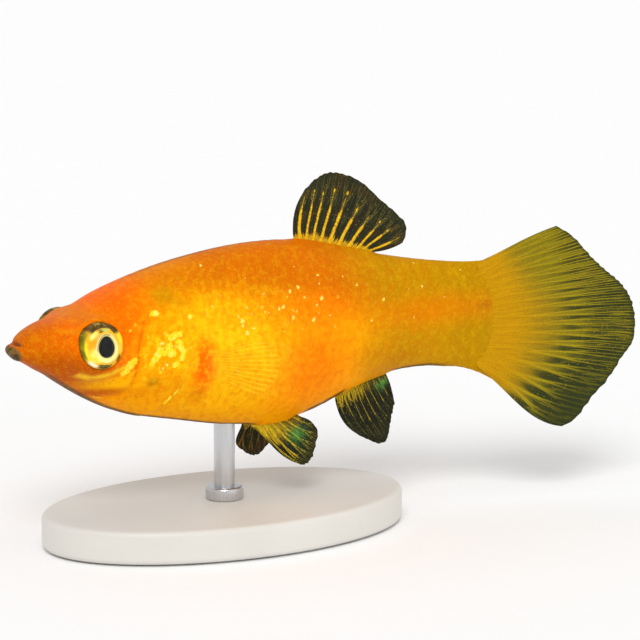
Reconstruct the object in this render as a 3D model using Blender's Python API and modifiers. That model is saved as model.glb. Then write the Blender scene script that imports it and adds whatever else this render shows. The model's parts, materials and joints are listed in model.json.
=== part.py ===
"""A life-size gold molly with its fins spread, held on a small display stand.

The fish is drawn straight, in a frame of its own. There s runs back from the tip of the lower lip, y is
the distance to the right of the middle plane, and z is the height over the body's axis. The bend of the
tail goes in last. The world origin is the middle of the stand's underside, and +Z is up.
"""

import math

import bmesh
import bpy
from mathutils import Vector

MM = 0.001
GAP = 0.3 * MM

# The stand, and where it holds the fish.
AXIS_HEIGHT = 21.5 * MM
STAND_AT = 25.0 * MM
BASE_LENGTH = 41.0 * MM
BASE_WIDTH = 25.0 * MM
BASE_THICK = 3.5 * MM
BASE_EDGE = 0.6 * MM
ROD_RADIUS = 1.1 * MM
ROD_IN_BODY = 3.0 * MM
ROD_IN_BASE = 2.0 * MM
ROD_SIDES = 28
BASE_SIDES = 64
EDGE_STEPS = 2

# The tail swings to the left from BEND_START to BEND_END, along an arc.
BEND_START = 32.0 * MM
BEND_END = 62.0 * MM
BEND_ANGLE = math.radians(15)

# The body's side view and width. Each pair is a distance back from the lower lip and a value there,
# both in millimetres. The last two give how square its sections are, where 2 is an ellipse.
BACK = [(0, 0.8), (1.3, 1.5), (2.6, 2.3), (5.3, 3.3), (8.1, 4.4), (10.8, 5.5), (16.4, 7.25),
        (22, 8.5), (27.7, 9.1), (33.4, 8.9), (39.5, 7.6), (44.8, 6.25), (50.4, 5.35), (55.3, 5.0), (59, 5.2)]
BELLY = [(0, -0.6), (2.5, -1.55), (5.2, -3.35), (7.9, -5.0), (10.7, -6.5), (13.4, -7.5), (19, -8.7),
         (24.7, -9.75), (30.5, -10.2), (34.8, -9.6), (37.7, -8.6), (40.1, -7.5), (44.8, -6.1), (49.1, -5.8),
         (53.3, -6.4), (56.1, -7.3), (59, -8.4)]
HALF_WIDTH = [(0, 1.2), (1.3, 1.75), (2.6, 2.5), (5.3, 3.9), (8.1, 4.85), (10.8, 5.1), (16.4, 5.2),
              (22, 5.25), (27.7, 5.1), (33.4, 4.6), (39.5, 3.6), (44.8, 2.65), (50.4, 1.75), (55.3, 0.95),
              (59, 0.6)]
WIDEST = [(0, 0.2), (5.3, 0.6), (10.8, 0.7), (22, -0.6), (33.4, -0.8), (44.8, -0.2), (59, -0.9)]
BACK_SQUARE = [(0, 2.2), (5.3, 2.4), (10.8, 2.3), (22, 2.1), (44.8, 2.0), (59, 2.0)]
BELLY_SQUARE = [(0, 2.2), (8, 1.9), (16.4, 2.0), (30, 2.2), (44.8, 2.0), (59, 2.0)]
SNOUT_START = 0.3 * MM
SNOUT_ROUND = 1.1 * MM
BODY_LENGTH = 58.5 * MM
BODY_RINGS = 50
BODY_SIDES = 36
SNOUT_RINGS = 4

# Where the body is parted. The gills' edge and the end of the flesh both bow backwards. The cutters
# reach CUT_HEIGHT up and down, CUT_WIDTH to each side and CUT_AHEAD in front of the lower lip.
CUT_HEIGHT = 13
CUT_WIDTH = 12.0 * MM
CUT_AHEAD = 5.0 * MM
GILL_BACK = 18.3 * MM
GILL_LEVEL = -1.0 * MM
GILL_BOW_ABOVE = 45.0
GILL_BOW_BELOW = 75.0
TRUNK_END = 46.0 * MM
FLESH_END = 56.6 * MM
FLESH_LEVEL = -1.1 * MM
FLESH_BOW = 34.0

# The mouth slopes down and back from its opening to its corner. The chin runs on from there.
MOUTH_FRONT = (-1.0, 1.4)
MOUTH_CORNER = (1.9, 0.7)
CHIN_BACK = (4.9, -5.0)
UPPER_LIP = {"radius": 0.34, "offset": 0.52, "sunk": 0.12}
LOWER_LIP = {"radius": 0.5, "offset": -0.68, "sunk": 0.2}
LIP_STEPS = 14
LIP_INSET = 0.25 * MM
LIP_TAPER = 0.5
LIP_LEVELLED = 0.45
LIP_EASE = 0.7

EYE_AT = (8.1, 5.25, 0.95)
EYE_RADIUS = 2.42 * MM
EYE_DEPTH = 1.35 * MM
EYE_AIM = (-0.03, 1.0, 0.1)
NOSTRILS = [(4.9, 1.95), (6.0, 2.5)]
NOSTRIL_RADIUS = 0.25 * MM
EYE_SEGMENTS = 22
EYE_RINGS = 12
PIT_SEGMENTS = 10
PIT_RINGS = 6

# The plate over the gills, from its front edge back to the gills' edge.
COVER_FRONT = 12.5 * MM
COVER_CORNER = 1.5 * MM
COVER_TOP = 3.4 * MM
COVER_BOTTOM = -6.3 * MM
COVER_THICK = 0.9 * MM
COVER_RAISED = 0.22 * MM
COVER_SLOPE = 0.8
COVER_COLUMNS = 8
COVER_ROWS = 10
RECESS_REACH = 5

# Fins, in millimetres. Sway is how far a fin's edge waves sideways. Each edge point is its share of the
# way from the first ray to the last, and its place as s, y and z. A bow is how far the rays at a share
# curve forward, two thirds of the way out.
MEMBRANE = 0.5 * MM
TIP_THICK = 0.3 * MM
RAY_RAISED = 0.28 * MM
EDGE_NOTCH = 0.16 * MM
BRANCH_FROM = 0.45
BRANCH_OVER = 0.2
RAY_FADE = 0.6
ROOT_TURN = 0.16
ROOT_TAPER = 0.3
TIP_FROM = 0.75
NOTCH_FROM = 0.8
DORSAL = {"rays": 10, "rows": 7, "root_thick": 1.0, "sway": 0.5, "branched": True}
CAUDAL = {"rays": 16, "rows": 8, "root_thick": 1.5, "sway": -0.6, "branched": True}
ANAL = {"rays": 9, "rows": 6, "root_thick": 1.0, "sway": 0.3, "branched": False}
PELVIC = {"rays": 6, "rows": 5, "root_thick": 0.9, "sway": 0.0, "branched": False}
PECTORAL = {"rays": 12, "rows": 6, "root_thick": 0.9, "sway": 0.0, "branched": False}
DORSAL_ROOT = (33.6, 42.3)
DORSAL_EDGE = [(0, 34.8, 0, 13.8), (0.12, 36, 0, 15.0), (0.25, 37.5, 0, 15.7), (0.4, 39.8, 0, 15.3),
               (0.53, 42, 0, 14.0), (0.66, 43.8, 0, 12.3), (0.8, 45.5, 0, 10.9), (0.92, 46.7, 0, 9.3),
               (1, 46.1, 0, 7.6)]
DORSAL_BOW = [(0, 0.2), (0.5, 0.1), (1, -0.1)]
CAUDAL_EDGE = [(0, 63.9, 0, 8.5), (0.06, 65.2, 0, 7.7), (0.12, 66.4, 0, 6.5), (0.2, 68, 0, 4.8),
               (0.3, 69.9, 0, 3.1), (0.4, 71.5, 0, 1.5), (0.5, 72.6, 0, -0.5), (0.6, 73, 0, -2.6),
               (0.68, 72.7, 0, -4.5), (0.76, 71.7, 0, -6.1), (0.84, 70, 0, -8.4), (0.92, 67.7, 0, -11),
               (0.97, 66.7, 0, -13.0), (1, 65.0, 0, -13.9)]
CAUDAL_BOW = [(0, 0.15), (0.2, 0.0), (0.8, 0.0), (1, -0.55)]
ANAL_ROOT = (38.5, 44.2)
ANAL_EDGE = [(0, 41.6, 0, -12.9), (0.15, 42.6, 0, -13.5), (0.3, 43.6, 0, -13.9), (0.45, 44.3, 0, -13.6),
             (0.6, 44.6, 0, -12.4), (0.75, 44.9, 0, -11.0), (0.9, 45.1, 0, -9.6), (1, 45.0, 0, -8.2)]
ANAL_BOW = [(0, -0.5), (0.5, -0.2), (1, 0.0)]
PELVIC_ROOT = (27.7, 32.6)
PELVIC_APART = 1.3 * MM
PELVIC_EDGE_LEFT = [(0, 32.4, 3.0, -14.6), (0.3, 33.3, 3.2, -14.5), (0.55, 33.9, 3.3, -13.7),
                    (0.8, 34.4, 3.1, -12.0), (1, 34.2, 2.8, -10.0)]
PELVIC_EDGE_RIGHT = [(0, 28.1, 2.8, -13.3), (0.2, 29.7, 3.0, -14.4), (0.45, 30.8, 3.1, -14.5),
                     (0.7, 31.6, 3.1, -13.9), (0.85, 32.1, 3.0, -13.2), (1, 31.9, 2.9, -12.2)]
PELVIC_BOW = [(0, -0.35), (0.5, -0.1), (1, 0.0)]
PECTORAL_ROOT = [(20.4, -0.6), (20.9, -3.6)]
PECTORAL_EDGE = [(0, 27.0, 8.1, -0.1), (0.2, 28.6, 8.6, -0.9), (0.4, 29.2, 8.8, -2.2),
                 (0.6, 28.9, 8.7, -3.6), (0.8, 27.9, 8.3, -4.9), (1, 26.2, 7.7, -5.7)]
PECTORAL_BOW = [(0, 0.5), (0.5, 0.0), (1, -0.4)]
PECTORAL_STANDS = 0.8

SKIN_GOLD = (0.93, 0.42, 0.03)
HEAD_ORANGE = (0.90, 0.30, 0.02)
STEM_OLIVE = (0.62, 0.42, 0.04)
FIN_DARK = (0.06, 0.065, 0.03)
TAIL_OLIVE = (0.50, 0.38, 0.03)
FIN_CLEAR = (0.85, 0.62, 0.25)
EYE_GOLD = (0.80, 0.62, 0.18)
STAND_WHITE = (0.80, 0.79, 0.76)
ROD_STEEL = (0.62, 0.62, 0.63)


def curve_value(points, at):
    """The value at a distance along a smooth curve through (distance, value) pairs."""
    if at <= points[0][0]:
        return points[0][1]
    for i in range(len(points) - 1):
        (a, va), (b, vb) = points[i], points[i + 1]
        if at > b:
            continue
        slope = (vb - va) / (b - a)
        before = slope if i == 0 else (va - points[i - 1][1]) / (a - points[i - 1][0])
        after = slope if i + 2 == len(points) else (points[i + 2][1] - vb) / (points[i + 2][0] - b)
        t = (at - a) / (b - a)
        start = (before + slope) / 2 * (b - a)
        end = (slope + after) / 2 * (b - a)
        ease = 3 * t**2 - 2 * t**3
        return va * (1 - ease) + vb * ease + start * (t**3 - 2 * t**2 + t) + end * (t**3 - t**2)
    return points[-1][1]


def size_at(points, s):
    """A length read from a list of millimetres, in metres."""
    return curve_value(points, s / MM) * MM


def smooth(a, b, at):
    """0 up to a, 1 from b on, and an eased step between them."""
    t = min(max((at - a) / (b - a), 0.0), 1.0)
    return t * t * (3 - 2 * t)


def section(s):
    """The body's section at s: top, bottom, height where it is widest, half width, and both squarenesses."""
    t = min(max((s - SNOUT_START) / SNOUT_ROUND, 0.0), 1.0)
    rounding = math.sqrt(max(1 - (1 - t) ** 2, 1e-4))
    widest = size_at(WIDEST, s)
    top = widest + (size_at(BACK, s) - widest) * rounding
    bottom = widest + (size_at(BELLY, s) - widest) * rounding
    half = size_at(HALF_WIDTH, s) * rounding
    return top, bottom, widest, half, curve_value(BACK_SQUARE, s / MM), curve_value(BELLY_SQUARE, s / MM)


def flank(s, z):
    """Half the body's width at s and height z, and zero above its back and below its belly."""
    top, bottom, widest, half, up, low = section(s)
    if z >= widest:
        share, power = (z - widest) / (top - widest), up
    else:
        share, power = (widest - z) / (widest - bottom), low
    return half * max(1 - min(share, 1.0) ** power, 0.0) ** (1 / power)


def belly_height(s, y):
    """The height of the underside at s, at a distance y from the middle plane."""
    _, bottom, widest, half, _, power = section(s)
    return widest - (widest - bottom) * (1 - min(abs(y) / half, 1.0) ** power) ** (1 / power)


def flank_point(s, z, lift=0.0):
    """The point of the right flank at s and z, moved out by lift along the surface's normal."""
    step = 0.05 * MM
    along = Vector((2 * step, flank(s + step, z) - flank(s - step, z), 0))
    upward = Vector((0, flank(s, z + step) - flank(s, z - step), 2 * step))
    return Vector((s, flank(s, z), z)) + upward.cross(along).normalized() * lift


def bent(point):
    """The place in the fish's frame of a point of the straight fish."""
    radius = (BEND_END - BEND_START) / BEND_ANGLE
    turn = min(max((point.x - BEND_START) / radius, 0.0), BEND_ANGLE)
    beyond = max(point.x - BEND_END, 0.0)
    x = min(point.x, BEND_START) + radius * math.sin(turn) + beyond * math.cos(BEND_ANGLE)
    y = -radius * (1 - math.cos(turn)) - beyond * math.sin(BEND_ANGLE)
    return Vector((x + point.y * math.sin(turn), y + point.y * math.cos(turn), point.z))


def principled(name, colour, roughness=0.4, metallic=0.0):
    material = bpy.data.materials.new(name)
    material.use_nodes = True
    shader = material.node_tree.nodes["Principled BSDF"]
    shader.inputs["Base Color"].default_value = (*colour, 1)
    shader.inputs["Roughness"].default_value = roughness
    shader.inputs["Metallic"].default_value = metallic
    return material


def new_collection(name):
    collection = bpy.data.collections.new(name)
    bpy.context.scene.collection.children.link(collection)
    return collection


def new_empty(name, location, collection):
    empty = bpy.data.objects.new(name, None)
    empty.location = location
    collection.objects.link(empty)
    return empty


def object_from(bm, name, collection, cutter=False):
    """An object made of a bmesh whose faces are turned outward. A cutter shows as wires only."""
    bmesh.ops.recalc_face_normals(bm, faces=bm.faces)
    mesh = bpy.data.meshes.new(name)
    bm.to_mesh(mesh)
    bm.free()
    obj = bpy.data.objects.new(name, mesh)
    collection.objects.link(obj)
    if cutter:
        obj.hide_render = True
        obj.display_type = "WIRE"
    return obj


def copy_of(obj, name):
    made = obj.copy()
    made.data = obj.data.copy()
    made.name = name
    obj.users_collection[0].objects.link(made)
    return made


def combine(obj, operation, other):
    """Applies one Boolean of another object to obj, and removes the other object."""
    modifier = obj.modifiers.new(operation.lower(), "BOOLEAN")
    modifier.operation = operation
    modifier.object = other
    modifier.solver = "EXACT"
    bpy.context.view_layer.update()
    made = bpy.data.meshes.new_from_object(obj.evaluated_get(bpy.context.evaluated_depsgraph_get()))
    obj.modifiers.clear()
    obj.data = made
    bpy.data.objects.remove(other, do_unlink=True)


def keep_largest(bm):
    """Leaves only the largest closed surface, so that no loose scrap stays."""
    left = set(bm.faces)
    shells = []
    while left:
        shell = set()
        front = [left.pop()]
        while front:
            face = front.pop()
            shell.add(face)
            near = {other for edge in face.edges for other in edge.link_faces} & left
            left -= near
            front.extend(near)
        shells.append(shell)
    shells.sort(key=lambda shell: sum(face.calc_area() for face in shell))
    loose = [face for shell in shells[:-1] for face in shell]
    if loose:
        bmesh.ops.delete(bm, geom=loose, context="FACES")


def finish(obj, material, holder, straight=False):
    """Bends a finished mesh with the body, shades its round faces smooth and hangs it on its holder."""
    bm = bmesh.new()
    bm.from_mesh(obj.data)
    keep_largest(bm)
    bmesh.ops.triangulate(bm, faces=bm.faces)
    if not straight:
        for vert in bm.verts:
            vert.co = bent(vert.co)
    bm.to_mesh(obj.data)
    bm.free()
    obj.data.shade_smooth()
    obj.data.set_sharp_from_angle(angle=math.radians(35))
    obj.data.materials.clear()
    obj.data.materials.append(material)
    obj.parent = holder


def body_loft(name, collection):
    """The whole body, as rings from the snout to past the root of the tail fin."""
    full = SNOUT_START + SNOUT_ROUND
    snout = [full - SNOUT_ROUND * math.cos(k * math.pi / 2 / (SNOUT_RINGS + 1))
             for k in range(1, SNOUT_RINGS + 1)]
    rest = [full + (BODY_LENGTH - full) * k / BODY_RINGS for k in range(BODY_RINGS + 1)]
    bm = bmesh.new()
    rings = []
    for s in snout + rest:
        top, bottom, widest, half, up, low = section(s)
        ring = []
        for k in range(BODY_SIDES):
            angle = 2 * math.pi * k / BODY_SIDES
            across, height = math.cos(angle), math.sin(angle)
            power, reach = (up, top - widest) if height >= 0 else (low, widest - bottom)
            y = half * math.copysign(abs(across) ** (2 / power), across)
            z = widest + reach * math.copysign(abs(height) ** (2 / power), height)
            ring.append(bm.verts.new((s, y, z)))
        rings.append(ring)
    for a, b in zip(rings, rings[1:]):
        for k in range(BODY_SIDES):
            n = (k + 1) % BODY_SIDES
            bm.faces.new((a[k], b[k], b[n], a[n]))
    bm.faces.new(rings[-1])
    tip = bm.verts.new((SNOUT_START, 0, section(SNOUT_START)[2]))
    for k in range(BODY_SIDES):
        bm.faces.new((tip, rings[0][k], rings[0][(k + 1) % BODY_SIDES]))
    return object_from(bm, name, collection)


def slab(name, outline, collection):
    """A cutter: an outline of (s, z) points, pushed out to both sides of the middle plane."""
    bm = bmesh.new()
    face = bm.faces.new([bm.verts.new((s, -CUT_WIDTH, z)) for s, z in outline])
    pushed = bmesh.ops.extrude_face_region(bm, geom=[face], use_keep_orig=True)
    moved = [v for v in pushed["geom"] if isinstance(v, bmesh.types.BMVert)]
    bmesh.ops.translate(bm, verts=moved, vec=(0, 2 * CUT_WIDTH, 0))
    return object_from(bm, name, collection, cutter=True)


def gill_line(z):
    """How far back the gills' edge lies at height z."""
    bow = GILL_BOW_ABOVE if z > GILL_LEVEL else GILL_BOW_BELOW
    return GILL_BACK - bow * (z - GILL_LEVEL) ** 2


def flesh_line(z):
    """How far back the flesh of the tail reaches at height z."""
    return FLESH_END - FLESH_BOW * (z - FLESH_LEVEL) ** 2


def before_after(front, back):
    """An outline between two lines, each a function of the height."""
    heights = [k * MM for k in range(-CUT_HEIGHT, CUT_HEIGHT + 1)]
    return [(front(z), z) for z in heights] + [(back(z), z) for z in reversed(heights)]


def chin_outline(margin):
    """The lower jaw's region, from the mouth down to the throat, grown by a margin."""
    front, corner, low = (Vector(point) * MM for point in (MOUTH_FRONT, MOUTH_CORNER, CHIN_BACK))
    above = (corner - front).orthogonal().normalized() * margin
    behind = (low - corner).orthogonal().normalized() * margin
    return [tuple(front + above), tuple(corner + above + behind), tuple(low + behind),
            (front.x, low.y)]


def mouth_height(s, offset):
    """The height at s of the mouth's line, moved square to itself by an offset."""
    front, corner = (Vector(point) * MM for point in (MOUTH_FRONT, MOUTH_CORNER))
    slope = (corner.y - front.y) / (corner.x - front.x)
    return front.y + (s - front.x) * slope + offset * math.hypot(1, slope)


def lip(name, size, collection):
    """A round lip along the snout's surface, from one corner of the mouth round to the other."""
    curve = bpy.data.curves.new(name, "CURVE")
    curve.dimensions = "3D"
    curve.bevel_depth = size["radius"] * MM
    curve.bevel_resolution = 2
    curve.use_fill_caps = True
    spline = curve.splines.new("POLY")
    spline.points.add(LIP_STEPS)
    corner = MOUTH_CORNER[0] * MM - LIP_INSET
    for k in range(LIP_STEPS + 1):
        angle = math.pi * (k / LIP_STEPS - 0.5)
        frontness = math.cos(angle) ** LIP_EASE
        taper = 1 - LIP_TAPER * (1 - frontness)
        offset = size["offset"] * MM * (1 - LIP_LEVELLED * (1 - frontness))
        inside, outside = 0.0, corner + CUT_AHEAD
        for _ in range(24):
            reach = (inside + outside) / 2
            s, y = corner - reach * math.cos(angle), reach * math.sin(angle)
            if s > SNOUT_START and abs(y) < flank(s, mouth_height(s, offset)):
                inside = reach
            else:
                outside = reach
        reach = inside - size["sunk"] * MM
        s = corner - reach * math.cos(angle)
        spline.points[k].co = (s, reach * math.sin(angle), mouth_height(s, offset), 1)
        spline.points[k].radius = taper
    tube = bpy.data.objects.new(name, curve)
    collection.objects.link(tube)
    bpy.context.view_layer.update()
    mesh = bpy.data.meshes.new_from_object(tube.evaluated_get(bpy.context.evaluated_depsgraph_get()))
    bpy.data.objects.remove(tube)
    bm = bmesh.new()
    bm.from_mesh(mesh)
    bmesh.ops.remove_doubles(bm, verts=bm.verts, dist=1e-6)
    return object_from(bm, name, collection)


def eye_shape(name, side, margin, collection, cutter=False):
    """An eyeball that is flatter along the way it looks, or its socket, grown by a margin."""
    bm = bmesh.new()
    bmesh.ops.create_uvsphere(bm, u_segments=EYE_SEGMENTS, v_segments=EYE_RINGS, radius=1.0)
    bmesh.ops.scale(bm, vec=(EYE_RADIUS + margin, EYE_RADIUS + margin, EYE_DEPTH + margin), verts=bm.verts)
    aim = Vector((EYE_AIM[0], side * EYE_AIM[1], EYE_AIM[2]))
    bmesh.ops.rotate(bm, matrix=aim.to_track_quat("Z", "Y").to_matrix(), verts=bm.verts)
    place = Vector((EYE_AT[0], side * EYE_AT[1], EYE_AT[2])) * MM
    bmesh.ops.translate(bm, vec=place, verts=bm.verts)
    return object_from(bm, name, collection, cutter)


def nostril_pit(name, side, place, collection):
    bm = bmesh.new()
    bmesh.ops.create_uvsphere(bm, u_segments=PIT_SEGMENTS, v_segments=PIT_RINGS, radius=NOSTRIL_RADIUS)
    centre = flank_point(place[0] * MM, place[1] * MM)
    bmesh.ops.translate(bm, vec=(centre.x, side * centre.y, centre.z), verts=bm.verts)
    return object_from(bm, name, collection, cutter=True)


def cover_front(z):
    """How far back the gill cover's front edge lies at height z, with its corners rounded off."""
    middle = (COVER_TOP + COVER_BOTTOM) / 2
    return COVER_FRONT + COVER_CORNER * ((z - middle) / (COVER_TOP - middle)) ** 4


def gill_cover(name, side, margin, collection):
    """The plate over the gills, or with a margin the recess that it lies in."""
    bm = bmesh.new()
    bmesh.ops.create_grid(bm, x_segments=COVER_COLUMNS, y_segments=COVER_ROWS, size=0.5)
    bmesh.ops.triangulate(bm, faces=bm.faces)
    pushed = bmesh.ops.extrude_face_region(bm, geom=list(bm.faces), use_keep_orig=True)
    inner = {v for v in pushed["geom"] if isinstance(v, bmesh.types.BMVert)}
    for vert in bm.verts:
        across, rise = vert.co.x + 0.5, vert.co.y + 0.5
        z = COVER_BOTTOM - margin + (COVER_TOP - COVER_BOTTOM + 2 * margin) * rise
        front = cover_front(min(max(z, COVER_BOTTOM), COVER_TOP)) - margin
        back = gill_line(z) + RECESS_REACH * margin
        outer = RECESS_REACH * margin if margin else COVER_RAISED * smooth(0.0, COVER_SLOPE, across)
        lift = -COVER_THICK - margin if vert in inner else outer
        vert.co = flank_point(front + (back - front) * across, z, lift)
        vert.co.y *= side
    return object_from(bm, name, collection, cutter=margin > 0)


def fin_surface(root, edge, bow, sway=0.0, side=1, stands=0.0):
    """The middle surface of a fin: u runs from its first ray to its last, and v from root to edge.

    Sway waves its edge sideways, and stands is how far out it steps at its root.
    """
    bow_peak = 4 / 27
    def place(u, v):
        start = root(u)
        end = Vector([curve_value([(point[0], point[k]) for point in edge], u) for k in (1, 2, 3)]) * MM
        end.y *= side
        along = end - start
        forward = Vector((-along.z, 0, along.x)).normalized()
        point = start.lerp(end, v) + forward * curve_value(bow, u) * MM * v * v * (1 - v) / bow_peak
        point.y += sway * MM * v * v * math.sin(3.0 * u + 0.5)
        point.y += side * stands * MM * smooth(0.0, ROOT_TURN, v)
        return point
    return place


def ray_ridge(u, v, rays, branched):
    """How much a fin is thickened by its rays, each of which may split in two on its way out."""
    place = (u * rays) % 1.0
    whole = 1 - abs(2 * place - 1)
    split = 1 - abs(4 * abs(place - 0.5) - 1)
    share = smooth(BRANCH_FROM, BRANCH_FROM + BRANCH_OVER, v) if branched else 0.0
    return RAY_RAISED * (whole + (split - whole) * share) * (1 - RAY_FADE * v)


def fin(name, place, form, collection, root_facing=None):
    """A fin as one closed sheet with a ridge for each ray, split into triangles alike on both faces.

    A fin that lies along the body has its root's thickness along the body too, by root_facing.
    """
    rays, branched = form["rays"], form["branched"]
    columns = rays * (4 if branched else 2)
    bm = bmesh.new()
    bmesh.ops.create_grid(bm, x_segments=columns, y_segments=form["rows"], size=0.5)
    bmesh.ops.triangulate(bm, faces=bm.faces)
    pushed = bmesh.ops.extrude_face_region(bm, geom=list(bm.faces), use_keep_orig=True)
    far = {v for v in pushed["geom"] if isinstance(v, bmesh.types.BMVert)}
    step = 0.004
    for vert in bm.verts:
        u, v = min(max(vert.co.x + 0.5, 0.0), 1.0), min(max(vert.co.y + 0.5, 0.0), 1.0)
        across = place(min(u + step, 1.0), v) - place(max(u - step, 0.0), v)
        outward = place(u, min(v + step, 1.0)) - place(u, max(v - step, 0.0))
        normal = across.cross(outward).normalized()
        if root_facing:
            normal = root_facing.lerp(normal, smooth(0.0, ROOT_TURN, v)).normalized()
        thick = MEMBRANE + (TIP_THICK - MEMBRANE) * smooth(TIP_FROM, 1.0, v)
        thick += (form["root_thick"] * MM - MEMBRANE) * (1 - smooth(0.0, ROOT_TAPER, v))
        thick += ray_ridge(u, v, rays, branched) * smooth(0.0, ROOT_TAPER, v)
        notch = EDGE_NOTCH * smooth(NOTCH_FROM, 1.0, v) * abs(math.cos(math.pi * u * rays))
        middle = place(u, v) - outward.normalized() * notch
        vert.co = middle + normal * thick / 2 * (1 if vert in far else -1)
    return object_from(bm, name, collection)


def dorsal_root(u):
    s = (DORSAL_ROOT[0] + (DORSAL_ROOT[1] - DORSAL_ROOT[0]) * u) * MM
    return Vector((s, 0, section(s)[0] + GAP))


def anal_root(u):
    s = (ANAL_ROOT[0] + (ANAL_ROOT[1] - ANAL_ROOT[0]) * u) * MM
    return Vector((s, 0, section(s)[1] - GAP))


def caudal_root(u):
    top, bottom = section(FLESH_END)[:2]
    inset = 0.25 * MM
    z = top - inset + (bottom - top + 2 * inset) * u
    return Vector((flesh_line(z) + GAP, 0, z))


def pelvic_root(side):
    def root(u):
        s = (PELVIC_ROOT[0] + (PELVIC_ROOT[1] - PELVIC_ROOT[0]) * u) * MM
        return Vector((s, side * PELVIC_APART, belly_height(s, PELVIC_APART) - 1.5 * GAP))
    return root


def pectoral_root(side):
    def root(u):
        (s0, z0), (s1, z1) = PECTORAL_ROOT
        point = flank_point((s0 + (s1 - s0) * u) * MM, (z0 + (z1 - z0) * u) * MM, GAP)
        point.y *= side
        return point
    return root


def make_body(model, holder):
    """Parts the one body into head, lower jaw, gill covers, trunk and tail stem."""
    whole = body_loft("body", model)
    head = copy_of(whole, "head")
    jaw = copy_of(whole, "lower_jaw")
    trunk = copy_of(whole, "trunk")
    stem = copy_of(whole, "tail_stem")
    bpy.data.objects.remove(whole, do_unlink=True)

    combine(head, "INTERSECT", slab("ahead", before_after(lambda z: -CUT_AHEAD, gill_line), model))
    combine(head, "DIFFERENCE", slab("chin", chin_outline(GAP), model))
    for side, word in ((-1, "left"), (1, "right")):
        combine(head, "DIFFERENCE", gill_cover("recess", side, GAP, model))
        combine(head, "DIFFERENCE", eye_shape("socket", side, GAP, model, cutter=True))
        for place in NOSTRILS:
            combine(head, "DIFFERENCE", nostril_pit("pit", side, place, model))
        cover = gill_cover("gill_cover_" + word, side, 0.0, model)
        finish(cover, principled("gill_cover_gold_" + word, HEAD_ORANGE), holder)
        eye = eye_shape("eye_" + word, side, 0.0, model)
        finish(eye, principled("eye_gold_" + word, EYE_GOLD, 0.15), holder)
    combine(head, "UNION", lip("upper_lip", UPPER_LIP, model))
    finish(head, principled("head_orange", HEAD_ORANGE), holder)

    combine(jaw, "INTERSECT", slab("chin", chin_outline(0.0), model))
    combine(jaw, "UNION", lip("lower_lip", LOWER_LIP, model))
    finish(jaw, principled("jaw_orange", HEAD_ORANGE), holder)

    behind_gills = before_after(lambda z: gill_line(z) + GAP, lambda z: TRUNK_END)
    combine(trunk, "INTERSECT", slab("middle", behind_gills, model))
    combine(trunk, "DIFFERENCE", rod("rod_socket", GAP, model))
    finish(trunk, principled("skin_gold", SKIN_GOLD), holder)

    behind_trunk = before_after(lambda z: TRUNK_END + GAP, flesh_line)
    combine(stem, "INTERSECT", slab("rear", behind_trunk, model))
    finish(stem, principled("skin_olive", STEM_OLIVE), holder)


def make_fins(model, holder):
    dorsal = fin_surface(dorsal_root, DORSAL_EDGE, DORSAL_BOW, DORSAL["sway"])
    finish(fin("dorsal_fin", dorsal, DORSAL, model), principled("dorsal_dark", FIN_DARK), holder)
    caudal = fin_surface(caudal_root, CAUDAL_EDGE, CAUDAL_BOW, CAUDAL["sway"])
    finish(fin("caudal_fin", caudal, CAUDAL, model), principled("tail_olive", TAIL_OLIVE), holder)
    anal = fin_surface(anal_root, ANAL_EDGE, ANAL_BOW, ANAL["sway"])
    finish(fin("anal_fin", anal, ANAL, model), principled("anal_dark", FIN_DARK), holder)
    for side, word, edge in ((-1, "left", PELVIC_EDGE_LEFT), (1, "right", PELVIC_EDGE_RIGHT)):
        pelvic = fin_surface(pelvic_root(side), edge, PELVIC_BOW, side=side)
        pelvic_fin = fin("pelvic_fin_" + word, pelvic, PELVIC, model)
        finish(pelvic_fin, principled("pelvic_dark_" + word, FIN_DARK), holder)
        pectoral = fin_surface(pectoral_root(side), PECTORAL_EDGE, PECTORAL_BOW, side=side,
                               stands=PECTORAL_STANDS)
        facing = Vector((side, 0, 0))
        pectoral_fin = fin("pectoral_fin_" + word, pectoral, PECTORAL, model, root_facing=facing)
        finish(pectoral_fin, principled("pectoral_clear_" + word, FIN_CLEAR), holder)


def rod(name, margin, collection):
    """The rod in the fish's frame, from the base up into the belly, or its hole with a margin."""
    low = BASE_THICK - ROD_IN_BASE - AXIS_HEIGHT - margin
    high = section(STAND_AT)[1] + ROD_IN_BODY + margin
    bm = bmesh.new()
    bmesh.ops.create_cone(bm, cap_ends=True, segments=ROD_SIDES, radius1=ROD_RADIUS + margin,
                          radius2=ROD_RADIUS + margin, depth=high - low)
    bmesh.ops.translate(bm, vec=(STAND_AT, 0, (low + high) / 2), verts=bm.verts)
    return object_from(bm, name, collection, cutter=margin > 0)


def make_stand(model, holder, stand):
    """An oval base with a rounded edge, and the rod that stands in it."""
    bpy.ops.mesh.primitive_cylinder_add(vertices=BASE_SIDES, radius=0.5, depth=BASE_THICK,
                                        location=(0, 0, BASE_THICK / 2))
    base = bpy.context.object
    base.scale = (BASE_LENGTH, BASE_WIDTH, 1)
    bpy.ops.object.transform_apply(location=True, rotation=False, scale=True)
    base.name = "stand_base"
    base.users_collection[0].objects.unlink(base)
    model.objects.link(base)
    edge = base.modifiers.new("edge", "BEVEL")
    edge.width = BASE_EDGE
    edge.segments = EDGE_STEPS
    edge.limit_method = "ANGLE"
    hole = rod("rod_hole", GAP, model)
    hole.data.transform(holder.matrix_world)
    combine(base, "DIFFERENCE", hole)
    finish(base, principled("stand_white", STAND_WHITE, 0.45), stand, straight=True)
    finish(rod("stand_rod", 0.0, model), principled("rod_steel", ROD_STEEL, 0.3, 1.0), holder)


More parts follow.
